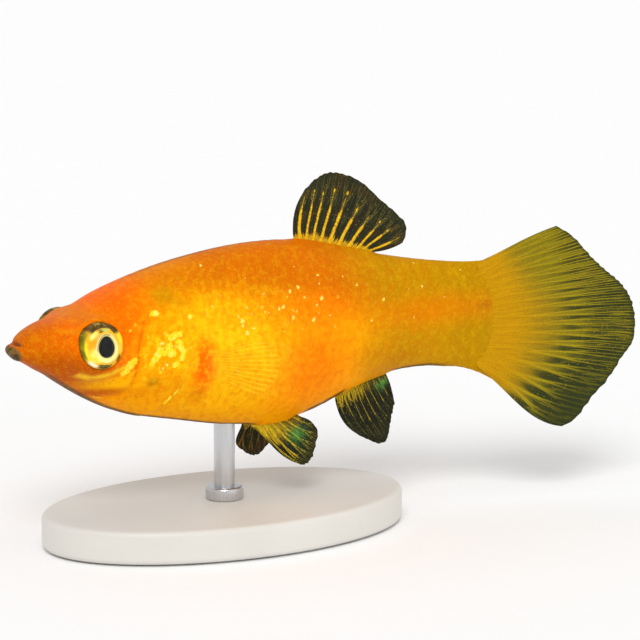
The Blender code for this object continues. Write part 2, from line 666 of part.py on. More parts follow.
def main():
    for obj in list(bpy.data.objects):
        bpy.data.objects.remove(obj, do_unlink=True)
    model = new_collection("gold_molly")
    stand = new_empty("stand", (0, 0, 0), model)
    holder = new_empty("fish", (-STAND_AT, 0, AXIS_HEIGHT), model)
    holder.parent = stand
    bpy.context.view_layer.update()
    make_body(model, holder)
    make_fins(model, holder)
    make_stand(model, holder, stand)


main()
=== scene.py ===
"""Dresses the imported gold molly: a scaled skin, rayed fins, layered eyes, the small stand and a pale studio.

The fish is drawn straight, in millimetres. There s runs back from the tip of the lower lip, y is the
distance to the right of the middle plane, and z is the height over the body's axis. The bend of the tail
and the place on the stand go in last.
"""

import json
import math

import bpy
import numpy as np
from bpy.props import FloatProperty, FloatVectorProperty, IntProperty, PointerProperty
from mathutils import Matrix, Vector

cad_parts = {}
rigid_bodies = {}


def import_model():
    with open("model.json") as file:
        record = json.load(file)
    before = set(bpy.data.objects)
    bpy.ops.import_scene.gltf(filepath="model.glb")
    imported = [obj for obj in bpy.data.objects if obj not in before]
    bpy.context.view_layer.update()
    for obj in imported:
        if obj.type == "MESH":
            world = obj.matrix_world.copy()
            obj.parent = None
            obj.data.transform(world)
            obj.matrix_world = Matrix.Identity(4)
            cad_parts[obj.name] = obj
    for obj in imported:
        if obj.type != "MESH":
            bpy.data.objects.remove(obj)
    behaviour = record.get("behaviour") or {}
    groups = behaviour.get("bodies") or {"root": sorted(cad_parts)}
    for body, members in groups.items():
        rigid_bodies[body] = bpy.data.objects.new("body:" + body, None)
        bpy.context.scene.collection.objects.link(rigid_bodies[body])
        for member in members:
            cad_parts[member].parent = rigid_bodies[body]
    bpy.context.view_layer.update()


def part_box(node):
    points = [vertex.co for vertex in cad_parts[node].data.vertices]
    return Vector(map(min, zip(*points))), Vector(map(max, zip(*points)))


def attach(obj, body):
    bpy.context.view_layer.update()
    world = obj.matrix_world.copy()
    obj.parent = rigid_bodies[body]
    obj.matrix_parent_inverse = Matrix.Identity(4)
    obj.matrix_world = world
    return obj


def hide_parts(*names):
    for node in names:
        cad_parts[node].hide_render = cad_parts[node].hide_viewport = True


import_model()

bl_info = {
    "name": "Gold Molly Model",
    "version": (1, 0, 0),
    "blender": (4, 5, 0),
    "location": "View3D > Sidebar > Molly",
    "description": "Builds a life-size gold molly with its fins spread, held over a small oval stand",
    "category": "Object",
}

MM = 0.001
GAP = 0.3

# Where the stand holds the fish, and the bend of its tail to the left.
AXIS_HEIGHT = 21.5
STAND_AT = 25.0
BEND_START = 32.0
BEND_END = 62.0
BEND_ANGLE = math.radians(15)

# The body's side view and width: pairs of a distance back from the lower lip and a value there.
BACK = [(0, 0.95), (0.8, 1.0), (1.02, 1.08), (1.18, 1.36), (1.4, 1.72), (1.9, 2.14), (2.7, 2.53), (3.7, 2.87),
        (5.3, 3.24), (8.1, 4.14), (10.8, 5.5), (16.4, 7.38), (22, 8.52), (27.7, 9.11), (33.4, 8.93),
        (39.5, 7.6), (44.8, 6.38), (50.4, 5.46), (55.3, 5.14), (59, 5.25)]
BELLY = [(0, -0.7), (0.6, -0.75), (1.2, -0.87), (1.5, -1.0), (2.05, -1.33), (3.0, -1.95), (4.0, -2.52),
         (5.2, -3.38), (7.9, -5.14), (10.7, -6.62), (13.4, -7.6), (19, -8.84),
         (24.7, -9.93), (30.5, -10.27), (34.8, -9.6), (37.7, -8.6), (40.1, -7.6), (44.8, -6.3), (49.1, -6.04),
         (51.2, -6.26), (53.3, -6.42), (56.1, -7.08), (59, -8.3)]
HALF_WIDTH = [(0, 1.2), (1.3, 1.75), (2.6, 2.5), (5.3, 3.9), (8.1, 4.85), (10.8, 5.1), (16.4, 5.2),
              (22, 5.25), (27.7, 5.1), (33.4, 4.6), (39.5, 3.6), (44.8, 2.65), (50.4, 1.75), (55.3, 0.95),
              (59, 0.6)]
WIDEST = [(0, 0.2), (5.3, 0.6), (10.8, 0.7), (22, -0.6), (33.4, -0.8), (44.8, -0.2), (59, -0.9)]
BACK_SQUARE = [(0, 2.2), (5.3, 2.4), (10.8, 2.3), (22, 2.1), (44.8, 2.0), (59, 2.0)]
BELLY_SQUARE = [(0, 2.2), (8, 1.9), (16.4, 2.0), (30, 2.2), (44.8, 2.0), (59, 2.0)]
SNOUT_START = 0.3
SNOUT_ROUND = 0.78
TAIL_TIP = 58.4
GILL_BACK = 18.3
GILL_LEVEL = -1.0
GILL_BOW_ABOVE = 0.045
GILL_BOW_BELOW = 0.075
FLESH_END = 56.6
FLESH_LEVEL = -1.1
FLESH_BOW = 0.034

# Places on the head, as s and z, and for the eye as s, y and z.
MOUTH_FRONT = (-1.0, 1.15)
MOUTH_CORNER = (1.1, 1.05)
EYE_AT = (8.15, 5.2, 0.93)
EYE_AIM = (-0.03, 1.0, 0.1)
EYE_RADIUS = 2.37
EYE_DEPTH = 1.35
NOSTRILS = [(4.9, 1.95), (6.0, 2.5)]
CHEEK_LINE = [(13.1, 2.8), (12.5, 0.6), (12.24, -2.8), (12.01, -4.0), (10.5, -5.09), (8.6, -4.9)]
EYE_BAND = [(5.75, -2.0), (7.25, -2.44), (9.16, -2.12), (10.49, -1.7), (11.5, -1.5)]
GILL_SKIN_LINE = [(17.39, -4.48), (15.92, -6.39)]
# Gilt patches of the cheek and gill cover: s, z, long and short radius, turn in degrees, strength.
GILT = [(14.4, -0.9, 1.1, 0.5, 50, 1.0), (14.9, -0.2, 0.5, 0.45, 30, 0.9), (16.3, 1.1, 0.75, 0.5, 20, 0.9),
        (17.0, 1.25, 0.5, 0.42, 0, 0.8), (15.85, 0.1, 0.65, 0.45, 60, 1.0),
        (15.35, -0.6, 0.45, 0.32, 40, 0.9),
        (17.35, -0.95, 0.8, 0.36, 80, 1.0), (17.2, -0.1, 0.6, 0.42, 80, 0.95), (16.1, -0.7, 0.6, 0.5, 0, 1.0),
        (13.45, 1.1, 0.5, 0.25, 70, 0.5), (16.6, -1.9, 0.55, 0.36, 30, 1.0), (16.9, 0.55, 0.5, 0.3, 0, 0.8),
        (11.5, -1.5, 0.85, 0.5, 35, 1.0), (11.1, -2.2, 0.7, 0.35, 15, 0.9), (12.1, -1.05, 0.4, 0.5, 60, 0.8),
        (14.5, 3.6, 0.55, 0.34, 10, 0.95), (13.9, 3.4, 0.6, 0.22, 10, 0.5), (18.4, 2.9, 0.36, 0.3, 0, 0.9),
        (11.5, 1.95, 0.35, 0.45, 0, 0.5), (12.2, 2.7, 0.25, 0.3, 0, 0.4), (9.07, -5.04, 0.7, 0.14, -12, 0.6),
        (20.4, 3.0, 0.55, 0.7, 0, 0.4), (20.6, 1.3, 0.4, 0.6, 0, 0.4), (13.4, -2.9, 0.7, 0.16, 75, 0.35),
        (15.9, -3.3, 0.9, 0.14, 50, 0.3), (15.0, -2.6, 0.3, 0.22, 0, 0.6)]
FIN_BASE = (19.95, -2.3)
TAIL_SPOT = (55.4, 0.35)
# Painted glints on the gill cover and behind it: s, z and size.
PAINTED_GLINTS = [(16.05, -0.7, 0.3), (14.95, 0.5, 0.2), (15.25, -2.2, 0.16), (16.5, -1.85, 0.2),
                (17.25, -0.3, 0.22),
                (14.6, 3.6, 0.3), (18.4, 2.9, 0.2), (14.5, -0.6, 0.2), (14.1, -1.2, 0.16), (16.4, 0.9, 0.16),
                (17.3, -1.2, 0.16), (11.55, -1.6, 0.2), (15.5, 1.5, 0.12), (16.6, 0.1, 0.14)]

# Fins. Each edge point is its share of the way from the first ray to the last, and its place as s, y and
# z. A bow is how far the rays at a share curve forward, two thirds of the way out.
DORSAL_EDGE = [(0, 34.85, 0, 13.95), (0.12, 36.1, 0, 14.98), (0.25, 37.65, 0, 15.58), (0.4, 39.8, 0, 15.28),
               (0.53, 42.05, 0, 14.05), (0.66, 43.85, 0, 12.3), (0.8, 45.5, 0, 10.9), (0.92, 46.7, 0, 9.2),
               (1, 46.3, 0, 7.65)]
CAUDAL_EDGE = [(0, 63.9, 0, 8.52), (0.06, 65.22, 0, 7.7), (0.12, 66.45, 0, 6.58), (0.2, 68, 0, 4.8),
               (0.3, 69.9, 0, 3.1), (0.4, 71.58, 0, 1.54), (0.5, 72.65, 0, -0.5), (0.6, 72.97, 0, -2.6),
               (0.68, 72.82, 0, -4.52), (0.76, 71.72, 0, -6.2), (0.84, 70.18, 0, -8.56),
               (0.92, 67.88, 0, -11.2), (0.97, 66.6, 0, -12.85), (1, 65.0, 0, -13.85)]
ANAL_EDGE = [(0, 41.5, 0, -13.06), (0.15, 42.6, 0, -13.68), (0.3, 43.75, 0, -14.15), (0.42, 44.55, 0, -13.95),
             (0.56, 44.95, 0, -12.6), (0.72, 45.15, 0, -11.1), (0.87, 45.4, 0, -9.8), (1, 45.05, 0, -8.6)]
PELVIC_EDGE_LEFT = [(0, 31.9, 3.0, -14.3), (0.18, 32.75, 3.1, -14.65), (0.4, 33.7, 3.2, -14.15),
                    (0.62, 34.25, 3.1, -12.9), (0.8, 34.65, 3.0, -11.75), (0.92, 34.6, 2.9, -11.1),
                    (1, 34.15, 2.8, -10.45)]
PELVIC_EDGE_RIGHT = [(0, 28.1, 2.8, -13.3), (0.2, 29.7, 3.0, -14.4), (0.45, 30.8, 3.1, -14.5),
                     (0.7, 31.6, 3.1, -13.9), (0.85, 32.1, 3.0, -13.2), (1, 31.9, 2.9, -12.2)]
PECTORAL_EDGE = [(0, 27.0, 8.1, -0.1), (0.2, 28.6, 8.6, -0.9), (0.4, 29.2, 8.8, -2.2),
                 (0.6, 28.9, 8.7, -3.6), (0.8, 27.9, 8.3, -4.9), (1, 26.2, 7.7, -5.7)]
PELVIC_APART = 1.3
DORSAL_ROOT = (33.42, 42.7)
ANAL_ROOT = (38.4, 44.45)
PELVIC_ROOT = (27.9, 33.15)
# Shares of the way from the back fin's first ray to its last, and where their roots stand along its base.
DORSAL_SPREAD = [(0, 0), (0.05, 0.07), (0.15, 0.148), (0.35, 0.335), (0.55, 0.575), (0.75, 0.81),
                 (0.85, 0.885), (0.95, 0.95), (1, 1)]
PECTORAL_ROOT = [(20.4, -0.6), (20.9, -3.6)]

# How each fin is made: its rays, the shares of the way out where they part first and second, a ray's half
# width against the space of a ray from root to edge, the same for the line along its middle, the web's
# thicknesses in millimetres, how it sways and bows, and the faces of its grid.
FINS = {
    "dorsal": {"rays": 10, "parts": ((0.3, 0.9), (0.5, 1.0)), "columns": 30, "rows": 96,
               "wide": [(0, 0.07), (0.3, 0.07), (0.6, 0.04), (1, 0.028)],
               "core": [(0, 0.22), (0.1, 0.17), (0.25, 0.14), (0.4, 0.13), (0.6, 0.07), (0.8, 0.04),
                        (1, 0.03)],
               "root_thick": 0.5, "web": 0.13, "raised": 0.12, "sway": 0.5, "sunk": 0.13, "notch": 0.05,
               "even": True,
               "bow": [(0, 0.6), (0.06, 0.34), (0.14, 0.08), (0.5, -0.05), (0.9, -0.2), (1, -0.25)]},
    "caudal": {"rays": 16, "parts": ((0.15, 0.7), (0.35, 1.0)), "columns": 30, "rows": 100,
               "wide": [(0, 0.2), (0.3, 0.1), (0.6, 0.05), (1, 0.036)],
               "core": [(0, 0.6), (0.3, 0.42), (0.45, 0.34), (0.62, 0.24), (0.8, 0.12), (1, 0.03)],
               "root_thick": 0.9, "web": 0.16, "raised": 0.1, "sway": -0.6, "sunk": 0.1, "notch": 0.08,
               "even": False, "bow": [(0, 0.15), (0.2, 0.0), (0.8, 0.0), (1, -0.85)]},
    "anal": {"rays": 9, "parts": ((0.4, 1.0), (0.65, 1.0)), "columns": 30, "rows": 80,
             "wide": [(0, 0.07), (0.3, 0.05), (1, 0.035)], "core": [(0, 0.06), (0.4, 0.05), (1, 0.04)],
             "root_thick": 0.5, "web": 0.13, "raised": 0.12, "sway": 0.3, "sunk": 0.13, "notch": 0.05,
             "even": True, "bow": [(0, -0.72), (0.12, -0.45), (0.5, -0.2), (1, 0.12)]},
    "pelvic": {"rays": 6, "parts": ((0.3, 1.0), (0.55, 1.0)), "columns": 40, "rows": 72,
               "wide": [(0, 0.1), (0.4, 0.07), (1, 0.04)], "core": [(0, 0.1), (0.4, 0.08), (1, 0.05)],
               "root_thick": 0.45, "web": 0.12, "raised": 0.12, "sway": 0.0, "sunk": 0.2, "notch": 0.06,
               "even": False, "bow": [(0, -0.35), (0.5, -0.1), (0.85, 0.1), (1, 0.15)]},
    "pectoral": {"rays": 12, "parts": ((0.35, 1.0), (0.65, 1.0)), "columns": 18, "rows": 54,
                 "wide": [(0, 0.16), (0.5, 0.1), (1, 0.06)], "core": [(0, 0.1), (1, 0.1)],
                 "root_thick": 0.3, "web": 0.05, "raised": 0.06, "sway": 0.0, "sunk": 0.06, "notch": 0.06,
                 "even": False, "bow": [(0, 0.5), (0.5, 0.0), (1, -0.4)]},
}
# Where each ray of the back fin carries a bright bead, as a share of the way out, or 0 for none.
BEADS = (0.0, 0.78, 0.7, 0.74, 0.76, 0.6, 0.0, 0.66, 0.62, 0.0)
# For each ray of a dark fin, how far out it is gold.
GOLD_REACH = {
    "dorsal": (0.62, 0.58, 0.57, 0.52, 0.5, 0.46, 0.44, 0.46, 0.5, 0.62),
    "anal": (0.35, 0.45, 0.55, 0.6, 0.6, 0.55, 0.6, 0.6, 0.4),
    "pelvic": (0.95, 0.8, 0.62, 0.45, 0.35, 0.25),
}
# The green patch of a fin, by its kind and side, as an oval over its shares across and out.
FIN_GLEAM = {("anal", 1): (0.86, 0.2, 0.12, 0.13), ("pelvic", -1): (0.62, 0.42, 0.16, 0.2)}
# Across the tail fin, how far out its dark streaks begin and end, and how dark they get.
DUSK_BEGINS = [(0, 0.55), (0.15, 0.4), (0.3, 0.3), (0.5, 0.28), (0.7, 0.3), (0.85, 0.26), (1, 0.14)]
DUSK_ENDS = [(0, 1.3), (0.2, 1.15), (0.45, 1.0), (0.7, 0.94), (0.9, 0.84), (1, 0.8)]
DUSK_DEPTH = [(0, 0.45), (0.2, 0.6), (0.4, 0.9), (0.55, 1.0), (1, 1.0)]

# Heights of the head's forms over the plain body, in millimetres.
LOWER_LIP_RISE = 0.26
UPPER_LIP_RISE = 0.06
MOUTH_DEPTH = 0.34
NOSTRIL_RIM = 0.05
NOSTRIL_DEPTH = 0.22
CHEEK_GROOVE = 0.11
GILT_RISE = 0.04
GILL_STEP = 0.15
BREAST_FIN_RISE = 0.26
VENT_AT = 37.0
VENT_RISE = 0.22
# The fleshy bases of the middle and belly fins: 1 for the back or -1 for the belly, the distance from the
# middle plane, half width, the distances back where it begins, is full, starts to fade and ends, and its
# height.
FIN_FLESH = [(1, 0.0, 0.75, 32.6, 34.0, 41.8, 43.4, 0.22), (-1, 0.0, 0.7, 37.6, 39.0, 43.8, 45.2, 0.2),
             (-1, PELVIC_APART, 0.6, 26.8, 28.2, 31.6, 33.0, 0.26)]

# Ovals on the body, as s, z, half length and half height: where it mottles to yellow and has painted glints as
# flecks.
BEHIND_GILLS = (23.0, -1.0, 5.5, 5.5)
GILL_COVER = (15.6, -0.2, 1.9, 2.4)
CHEEK = (12.0, -1.6, 1.6, 1.1)
UPPER_FLANK = (28.8, 2.4, 5.6, 2.4)
STEM_TOP = (40.0, 3.0, 11.0, 2.4)
# Soft patches of colour in the order in which they are laid: s, z, half length, half height, softness of the
# edge, the name of a setting or a screen colour, and how strongly it is laid.
FLANK_PATCHES = [(33.5, -3.9, 4.6, 4.3, 0.8, "red", 0.75), (33.0, 2.2, 8.0, 1.5, 0.9, "red", 0.6)]
STEM_PATCHES = [(43.0, -4.4, 3.2, 1.8, 0.8, (186, 118, 4), 0.5), (49.0, 0.4, 8.0, 1.5, 0.9, "red", 0.4)]
HEAD_PATCHES = [(15.2, -0.4, 2.7, 3.2, 0.7, "gold", 0.9), (14.6, -4.2, 3.6, 1.6, 0.8, (232, 142, 3), 0.8),
                (10.4, -3.4, 3.2, 0.9, 0.7, (255, 178, 4), 0.95),
                (9.4, -4.35, 2.0, 0.45, 0.8, "throat", 0.75),
                (11.2, -5.6, 3.0, 0.7, 0.8, "gold", 0.55), (8.1, 3.6, 2.6, 0.7, 0.8, (214, 128, 6), 0.55),
                (5.6, 2.35, 1.1, 0.22, 0.9, (236, 150, 10), 0.5),
                (17.2, 6.5, 3.4, 1.2, 0.9, (212, 116, 4), 0.7)]
SMALL_PATCHES = [(*FIN_BASE, 1.3, 2.7, 0.6, (252, 106, 4), 0.95), (15.9, 5.1, 1.5, 0.9, 0.8, "olive", 0.75),
                 (17.8, 4.2, 0.8, 0.6, 0.8, "olive", 0.4), (14.3, -3.6, 0.6, 0.4, 0.9, (150, 96, 8), 0.6),
                 (19.6, -5.6, 0.9, 0.9, 0.9, "snout", 0.45)]
# The stretches of the belly that have no painted shade line, at the roots of the lower fins.
UNSHADED_BELLY = [(27.4, 28.6, 33.2, 34.2), (38.4, 39.2, 44.6, 45.6)]
# Where the painted shade line is deeper, between those fins, and its least and added depth.
DEEP_BELLY_SHADE = (33.2, 34.4, 38.4, 39.4)
BELLY_SHADE = 0.24
BELLY_SHADE_ADDED = 0.5

# An eye's outline, from its front over the rim to its back: radius, and height over its widest ring.
EYE_PROFILE = [(0.0, 1.2), (0.4, 1.16), (0.68, 1.04), (0.8, 0.88), (0.83, 0.74), (0.87, 0.72), (0.94, 0.8),
               (1.2, 0.83), (1.6, 0.76), (2.0, 0.58), (2.22, 0.38), (2.33, 0.18), (2.37, -0.02), (2.37, -0.7),
               (2.32, -1.3), (1.6, -1.5), (0.0, -1.6)]
PUPIL_EDGE = 0.83
CORNEA_THICK = 0.1
# The iris in layers. A blot is its x, y, half length and half width in millimetres, and its turn in degrees.
# An arc is its first and last turn in degrees, and its inner and outer radius. Its softness may follow.
IRIS_LAYERS = [
    ("blot", (-1.0, 0.35, 0.45, 0.9), (255, 190, 96)),
    ("blot", (-1.5, 0.7, 0.42, 0.8), (255, 170, 12)),
    ("blot", (-1.05, -0.75, 0.6, 0.7, 30), (255, 236, 104)),
    ("blot", (-1.3, -1.25, 0.45, 0.4, 30), (255, 224, 60)),
    ("blot", (-1.2, 1.25, 0.25, 0.6, -35), (255, 230, 90)),
    ("arc", (165, 218, 1.86, 2.14), (255, 226, 16)),
    ("arc", (138, 212, 2.12, 2.8), "iris_green"),
    ("arc", (150, 175, 2.25, 2.8), (96, 104, 10)),
    ("arc", (184, 206, 2.2, 2.8), (104, 100, 8)),
    ("blot", (1.8, -0.2, 0.45, 1.0), (255, 206, 44)),
    ("blot", (1.75, 0.85, 0.3, 0.65, 15), (255, 236, 40)),
    ("arc", (320, 372, 2.15, 2.8), (214, 150, 20)),
    ("arc", (38, 134, 1.88, 2.9), "iris_dark"),
    ("arc", (60, 130, 2.22, 2.6), (88, 64, 14)),
    ("arc", (30, 150, 2.36, 3.2, 0.05), (44, 38, 16)),
    ("arc", (75, 115, 1.5, 1.8), (104, 80, 20)),
    ("blot", (-0.42, 1.36, 0.36, 0.12, 20), (120, 84, 20)),
    ("blot", (0.98, 1.42, 0.42, 0.2, -40), "iris_dark"),
    ("blot", (0.05, 1.5, 0.42, 0.2), (196, 208, 96)),
    ("arc", (205, 330, 2.34, 2.9), (84, 92, 40)),
    ("blot", (0.0, -1.98, 0.75, 0.36), (64, 62, 16)),
    ("blot", (1.48, -1.3, 0.34, 0.5, 15), (112, 88, 20)),
    # A painted glint on the lower front of the iris.
    ("arc", (222, 247, 2.0, 2.3), (252, 252, 214)),
    ("blot", (0.72, -1.6, 0.5, 0.15, 32), "iris_cream"),
]

# Scales: where their rows run, and a scale's length and breadth against its pitch and its row's share.
SCALES_FROM = 10.8
SCALES_TO = 55.0
SCALE_LENGTH = 1.9
SCALE_BREADTH = 0.78
SCALE_SINK = -0.022
SCALE_LIFT = 0.033
SCALE_EDGE = 0.008
# A scale's patch on the unwrap of the skin, for baking.
UNWRAP_LENGTH = 60
PATCH_LENGTH = 0.003

# Linear colours that noise mixes into the skin, the fins and the iris.
WARM_SHINE = (1.0, 0.62, 0.1)
DUSKY_RED = (0.66, 0.13, 0.001)
DUSKY_BROWN = (0.25, 0.06, 0.0)
LIT_GOLD = (1.0, 0.6, 0.03)
SCALE_RIM = (0.30, 0.10, 0.0)
TAIL_SPOT_RED = (0.36, 0.07, 0.004)
TAIL_BROWN = (0.2, 0.1, 0.0)
TAIL_LIT = (0.62, 0.4, 0.01)
TAIL_STREAK = (0.24, 0.13, 0.0)
IRIS_LIT = (1.0, 0.72, 0.12)
IRIS_BROWN = (0.4, 0.2, 0.01)
PUPIL_BLACK = (0.004, 0.004, 0.005)
RESIN_SPECK = (0.45, 0.44, 0.41)
STEEL_DARK = (0.52, 0.52, 0.53)
STEEL_LIGHT = (0.68, 0.68, 0.69)

# The camera looks at the middle of the fish. Each lamp is its name, the way it comes from, how wide it looks
# in degrees, and how bright it is.
LOOK_AT = (36.57, 0.0, 0.0)
LAMPS = [("key", (-0.55, -0.9, 1.0), 24.0, 1.35), ("fill", (0.4, -1.0, 0.1), 50.0, 0.3)]


def tint(red, green, blue):
    """A linear colour from the values, 0 to 255, that a screen shows it with."""
    shares = (c / 255 for c in (red, green, blue))
    return tuple(c / 12.92 if c < 11 / 255 else ((c + 0.055) / 1.055) ** 2.4 for c in shares)


def colour_setting(name, description, colour):
    """A setting for a colour, given as a screen shows it."""
    return FloatVectorProperty(name=name, description=description, subtype="COLOR", size=3, min=0, max=1,
                               default=tint(*colour))


def length_setting(name, description, millimetres):
    """A setting for a length, given in millimetres."""
    return FloatProperty(name=name, description=description, default=millimetres * MM, min=0, precision=6,
                         unit="LENGTH", subtype="DISTANCE")


class MollySkinSettings(bpy.types.PropertyGroup):
    """Sizes and colours of the skin and its scales"""

    rings: IntProperty(name="Rings", description="Rings of faces from snout to tail", default=330, min=60)
    sides: IntProperty(name="Sides", description="Faces round each ring", default=256, min=32)
    coat_depth: length_setting("Coat depth", "How far the skin lies inside the solid body", 0.045)
    scale_rows: IntProperty(name="Scale rows", description="Rows of scales round the body", default=20, min=6)
    scale_pitch: length_setting("Scale pitch", "Distance from scale to scale along a row", 1.42)
    gold: colour_setting("Gold", "Flank and belly", (255, 167, 2))
    bright_gold: colour_setting("Bright gold", "Reflecting patches behind the gills", (255, 196, 12))
    orange: colour_setting("Orange", "Crown and cheeks", (255, 106, 2))
    snout: colour_setting("Snout", "Snout and chin", (200, 98, 4))
    throat: colour_setting("Throat", "Below and in front of the eyes", (186, 80, 3))
    back: colour_setting("Back", "Along the back", (211, 101, 3))
    red: colour_setting("Red orange", "Lower flank, fin base and the line along the side", (252, 118, 4))
    olive: colour_setting("Olive gold", "The tail's stem", (194, 136, 4))
    stem: colour_setting("Dark olive gold", "The root of the tail fin", (182, 133, 5))
    # Dark also paints the shade in the mouth's cleft, under the chin, in the nostrils and behind the gill
    # covers.
    dark: colour_setting("Dark", "Lips, nostrils and the line under the belly", (58, 52, 34))
    lip: colour_setting("Lip", "The tip of the lower jaw", (122, 95, 50))
    yellow: colour_setting("Yellow", "Gilt patches", (255, 218, 22))
    # Fleck is the colour of the painted glints on shiny scales, and of the gilt's brighter grains.
    fleck: colour_setting("Fleck", "Bright flecks on the scales", (255, 232, 104))


class MollyFinSettings(bpy.types.PropertyGroup):
    """Colours of the fins"""

    web_dark: colour_setting("Web", "Dark web between the rays", (34, 36, 22))
    web_pale: colour_setting("Pale web", "Paler streaks in the web", (72, 72, 40))
    web_black: colour_setting("Black web", "Web of the anal fin and the left belly fin", (14, 20, 16))
    web_warm: colour_setting("Warm web", "Brown patches of the web", (58, 42, 18))
    ray_brown: colour_setting("Brown ray", "Rays of the right belly fin", (146, 90, 28))
    ray_pale: colour_setting("Pale ray", "Rays of the left belly fin", (168, 158, 52))
    ray_root: colour_setting("Ray at its root", "Rays near the body", (226, 160, 8))
    ray_mid: colour_setting("Ray", "Rays half way out", (236, 196, 26))
    ray_tip: colour_setting("Ray at its tip", "Rays near the edge", (124, 112, 44))
    tail_gold: colour_setting("Tail gold", "Inner part of the tail fin", (198, 144, 2))
    tail_olive: colour_setting("Tail olive", "Rays in the outer part of the tail fin", (154, 138, 22))
    tail_pale: colour_setting("Tail's upper lobe", "Rays of the tail fin's upper lobe", (152, 134, 12))
    tail_dark: colour_setting("Tail dark", "Streaks and margin of the tail fin", (46, 54, 26))
    green: colour_setting("Green sheen", "Shining patches of the lower fins", (92, 168, 74))
    clear: colour_setting("Clear web", "Web of the breast fins", (255, 196, 70))


class MollyEyeSettings(bpy.types.PropertyGroup):
    """Size of the pupil and colours of the iris"""

    pupil: length_setting("Pupil", "Half the pupil's height", 1.05)
    iris_gold: colour_setting("Iris gold", "Most of the iris", (255, 186, 34))
    iris_cream: colour_setting("Iris cream", "Ring round the pupil and glints", (255, 240, 150))
    iris_green: colour_setting("Iris green", "Front edge of the iris", (152, 146, 10))
    iris_dark: colour_setting("Iris dark", "Top and lower patches of the iris", (70, 50, 10))


class MollyStandSettings(bpy.types.PropertyGroup):
    """Sizes and colour of the stand"""

    length: length_setting("Base length", "Length of the oval base", 41.0)
    width: length_setting("Base width", "Width of the oval base", 25.0)
    thick: length_setting("Base thickness", "Thickness of the oval base", 3.5)
    edge: length_setting("Edge", "Roundness of the base's edge", 0.6)
    rod: length_setting("Rod", "Radius of the rod", 1.1)
    white: colour_setting("Base", "Cast resin of the base", (222, 219, 212))


class MollyStudioSettings(bpy.types.PropertyGroup):
    """Camera and floor"""

    azimuth: FloatProperty(name="Azimuth", description="Way the camera looks from", subtype="ANGLE",
                           default=math.radians(-30))
    elevation: FloatProperty(name="Elevation", description="Height of the camera over the fish's level",
                             subtype="ANGLE", default=math.radians(11))
    distance: length_setting("Distance", "From the camera to the fish", 400.0)
    lens: FloatProperty(name="Lens", description="Focal length, in millimetres", default=212.34, min=10)
    floor: colour_setting("Floor", "Paper under the stand", (254, 254, 254))


def curve(points, at):
    """Values at distances along a smooth curve through (distance, value) pairs."""
    x = np.array([point[0] for point in points], float)
    value = np.array([point[1] for point in points], float)
    chord = np.diff(value) / np.diff(x)
    slope = (np.concatenate((chord[:1], chord)) + np.concatenate((chord, chord[-1:]))) / 2
    at = np.clip(at, x[0], x[-1])
    k = np.clip(np.searchsorted(x, at, side="right") - 1, 0, len(x) - 2)
    wide = x[k + 1] - x[k]
    t = (at - x[k]) / wide
    blend = t * t * (3 - 2 * t)
    bends = slope[k] * (t**3 - 2 * t**2 + t) + slope[k + 1] * (t**3 - t**2)
    return value[k] * (1 - blend) + value[k + 1] * blend + bends * wide


def ease(low, high, at):
    """0 up to low, 1 from high on, and a smooth step between them."""
    t = np.clip((at - low) / (high - low), 0, 1)
    return t * t * (3 - 2 * t)


def swell(distance, width):
    """1 where the distance is 0, falling off smoothly over the width."""
    return np.exp(-(distance / width) ** 2)


def line_distance(s, z, points):
    """The distance of places to a line through points, and the share of the way along it."""
    best = np.full(np.shape(s), 1e9)
    share = np.zeros(np.shape(s))
    count = len(points) - 1
    for k in range(count):
        (s0, z0), (s1, z1) = points[k], points[k + 1]
        square = (s1 - s0) ** 2 + (z1 - z0) ** 2
        t = np.clip(((s - s0) * (s1 - s0) + (z - z0) * (z1 - z0)) / square, 0, 1)
        away = np.hypot(s - s0 - t * (s1 - s0), z - z0 - t * (z1 - z0))
        nearer = away < best
        best = np.where(nearer, away, best)
        share = np.where(nearer, (k + t) / count, share)
    return best, share


def section(s):
    """The body's section at s: top, bottom, height where it is widest, half width, and both squarenesses."""
    t = np.clip((s - SNOUT_START) / SNOUT_ROUND, 0, 1)
    rounding = np.sqrt(np.maximum(1 - (1 - t) ** 2, 1e-4))
    widest = curve(WIDEST, s)
    top = widest + (curve(BACK, s) - widest) * rounding
    bottom = widest + (curve(BELLY, s) - widest) * rounding
    half = curve(HALF_WIDTH, s) * rounding * (1 - 0.82 * ease(55.3, TAIL_TIP, s))
    return top, bottom, widest, half, curve(BACK_SQUARE, s), curve(BELLY_SQUARE, s)


def flank(s, z):
    """Half the body's width at s and height z."""
    top, bottom, widest, half, up, low = section(s)
    above = z >= widest
    share = np.where(above, (z - widest) / (top - widest), (widest - z) / (widest - bottom))
    power = np.where(above, up, low)
    return half * np.maximum(1 - np.minimum(share, 1) ** power, 0) ** (1 / power)


def gill_line(z):
    """How far back the gill covers' rear edge lies at height z."""
    bow = np.where(z > GILL_LEVEL, GILL_BOW_ABOVE, GILL_BOW_BELOW)
    return GILL_BACK - bow * (z - GILL_LEVEL) ** 2


def smooth_body(s, angle):
    """Places on the plain body. The angle runs from its right side over its back."""
    top, bottom, widest, half, up, low = section(s)
    across, height = np.cos(angle), np.sin(angle)
    power = np.where(height >= 0, up, low)
    reach = np.where(height >= 0, top - widest, widest - bottom)
    y = half * np.sign(across) * np.abs(across) ** (2 / power)
    z = widest + reach * np.sign(height) * np.abs(height) ** (2 / power)
    back = FLESH_BOW * (z - FLESH_LEVEL) ** 2 * ease(50, FLESH_END, s)
    return np.stack((s - back, y, z), -1)


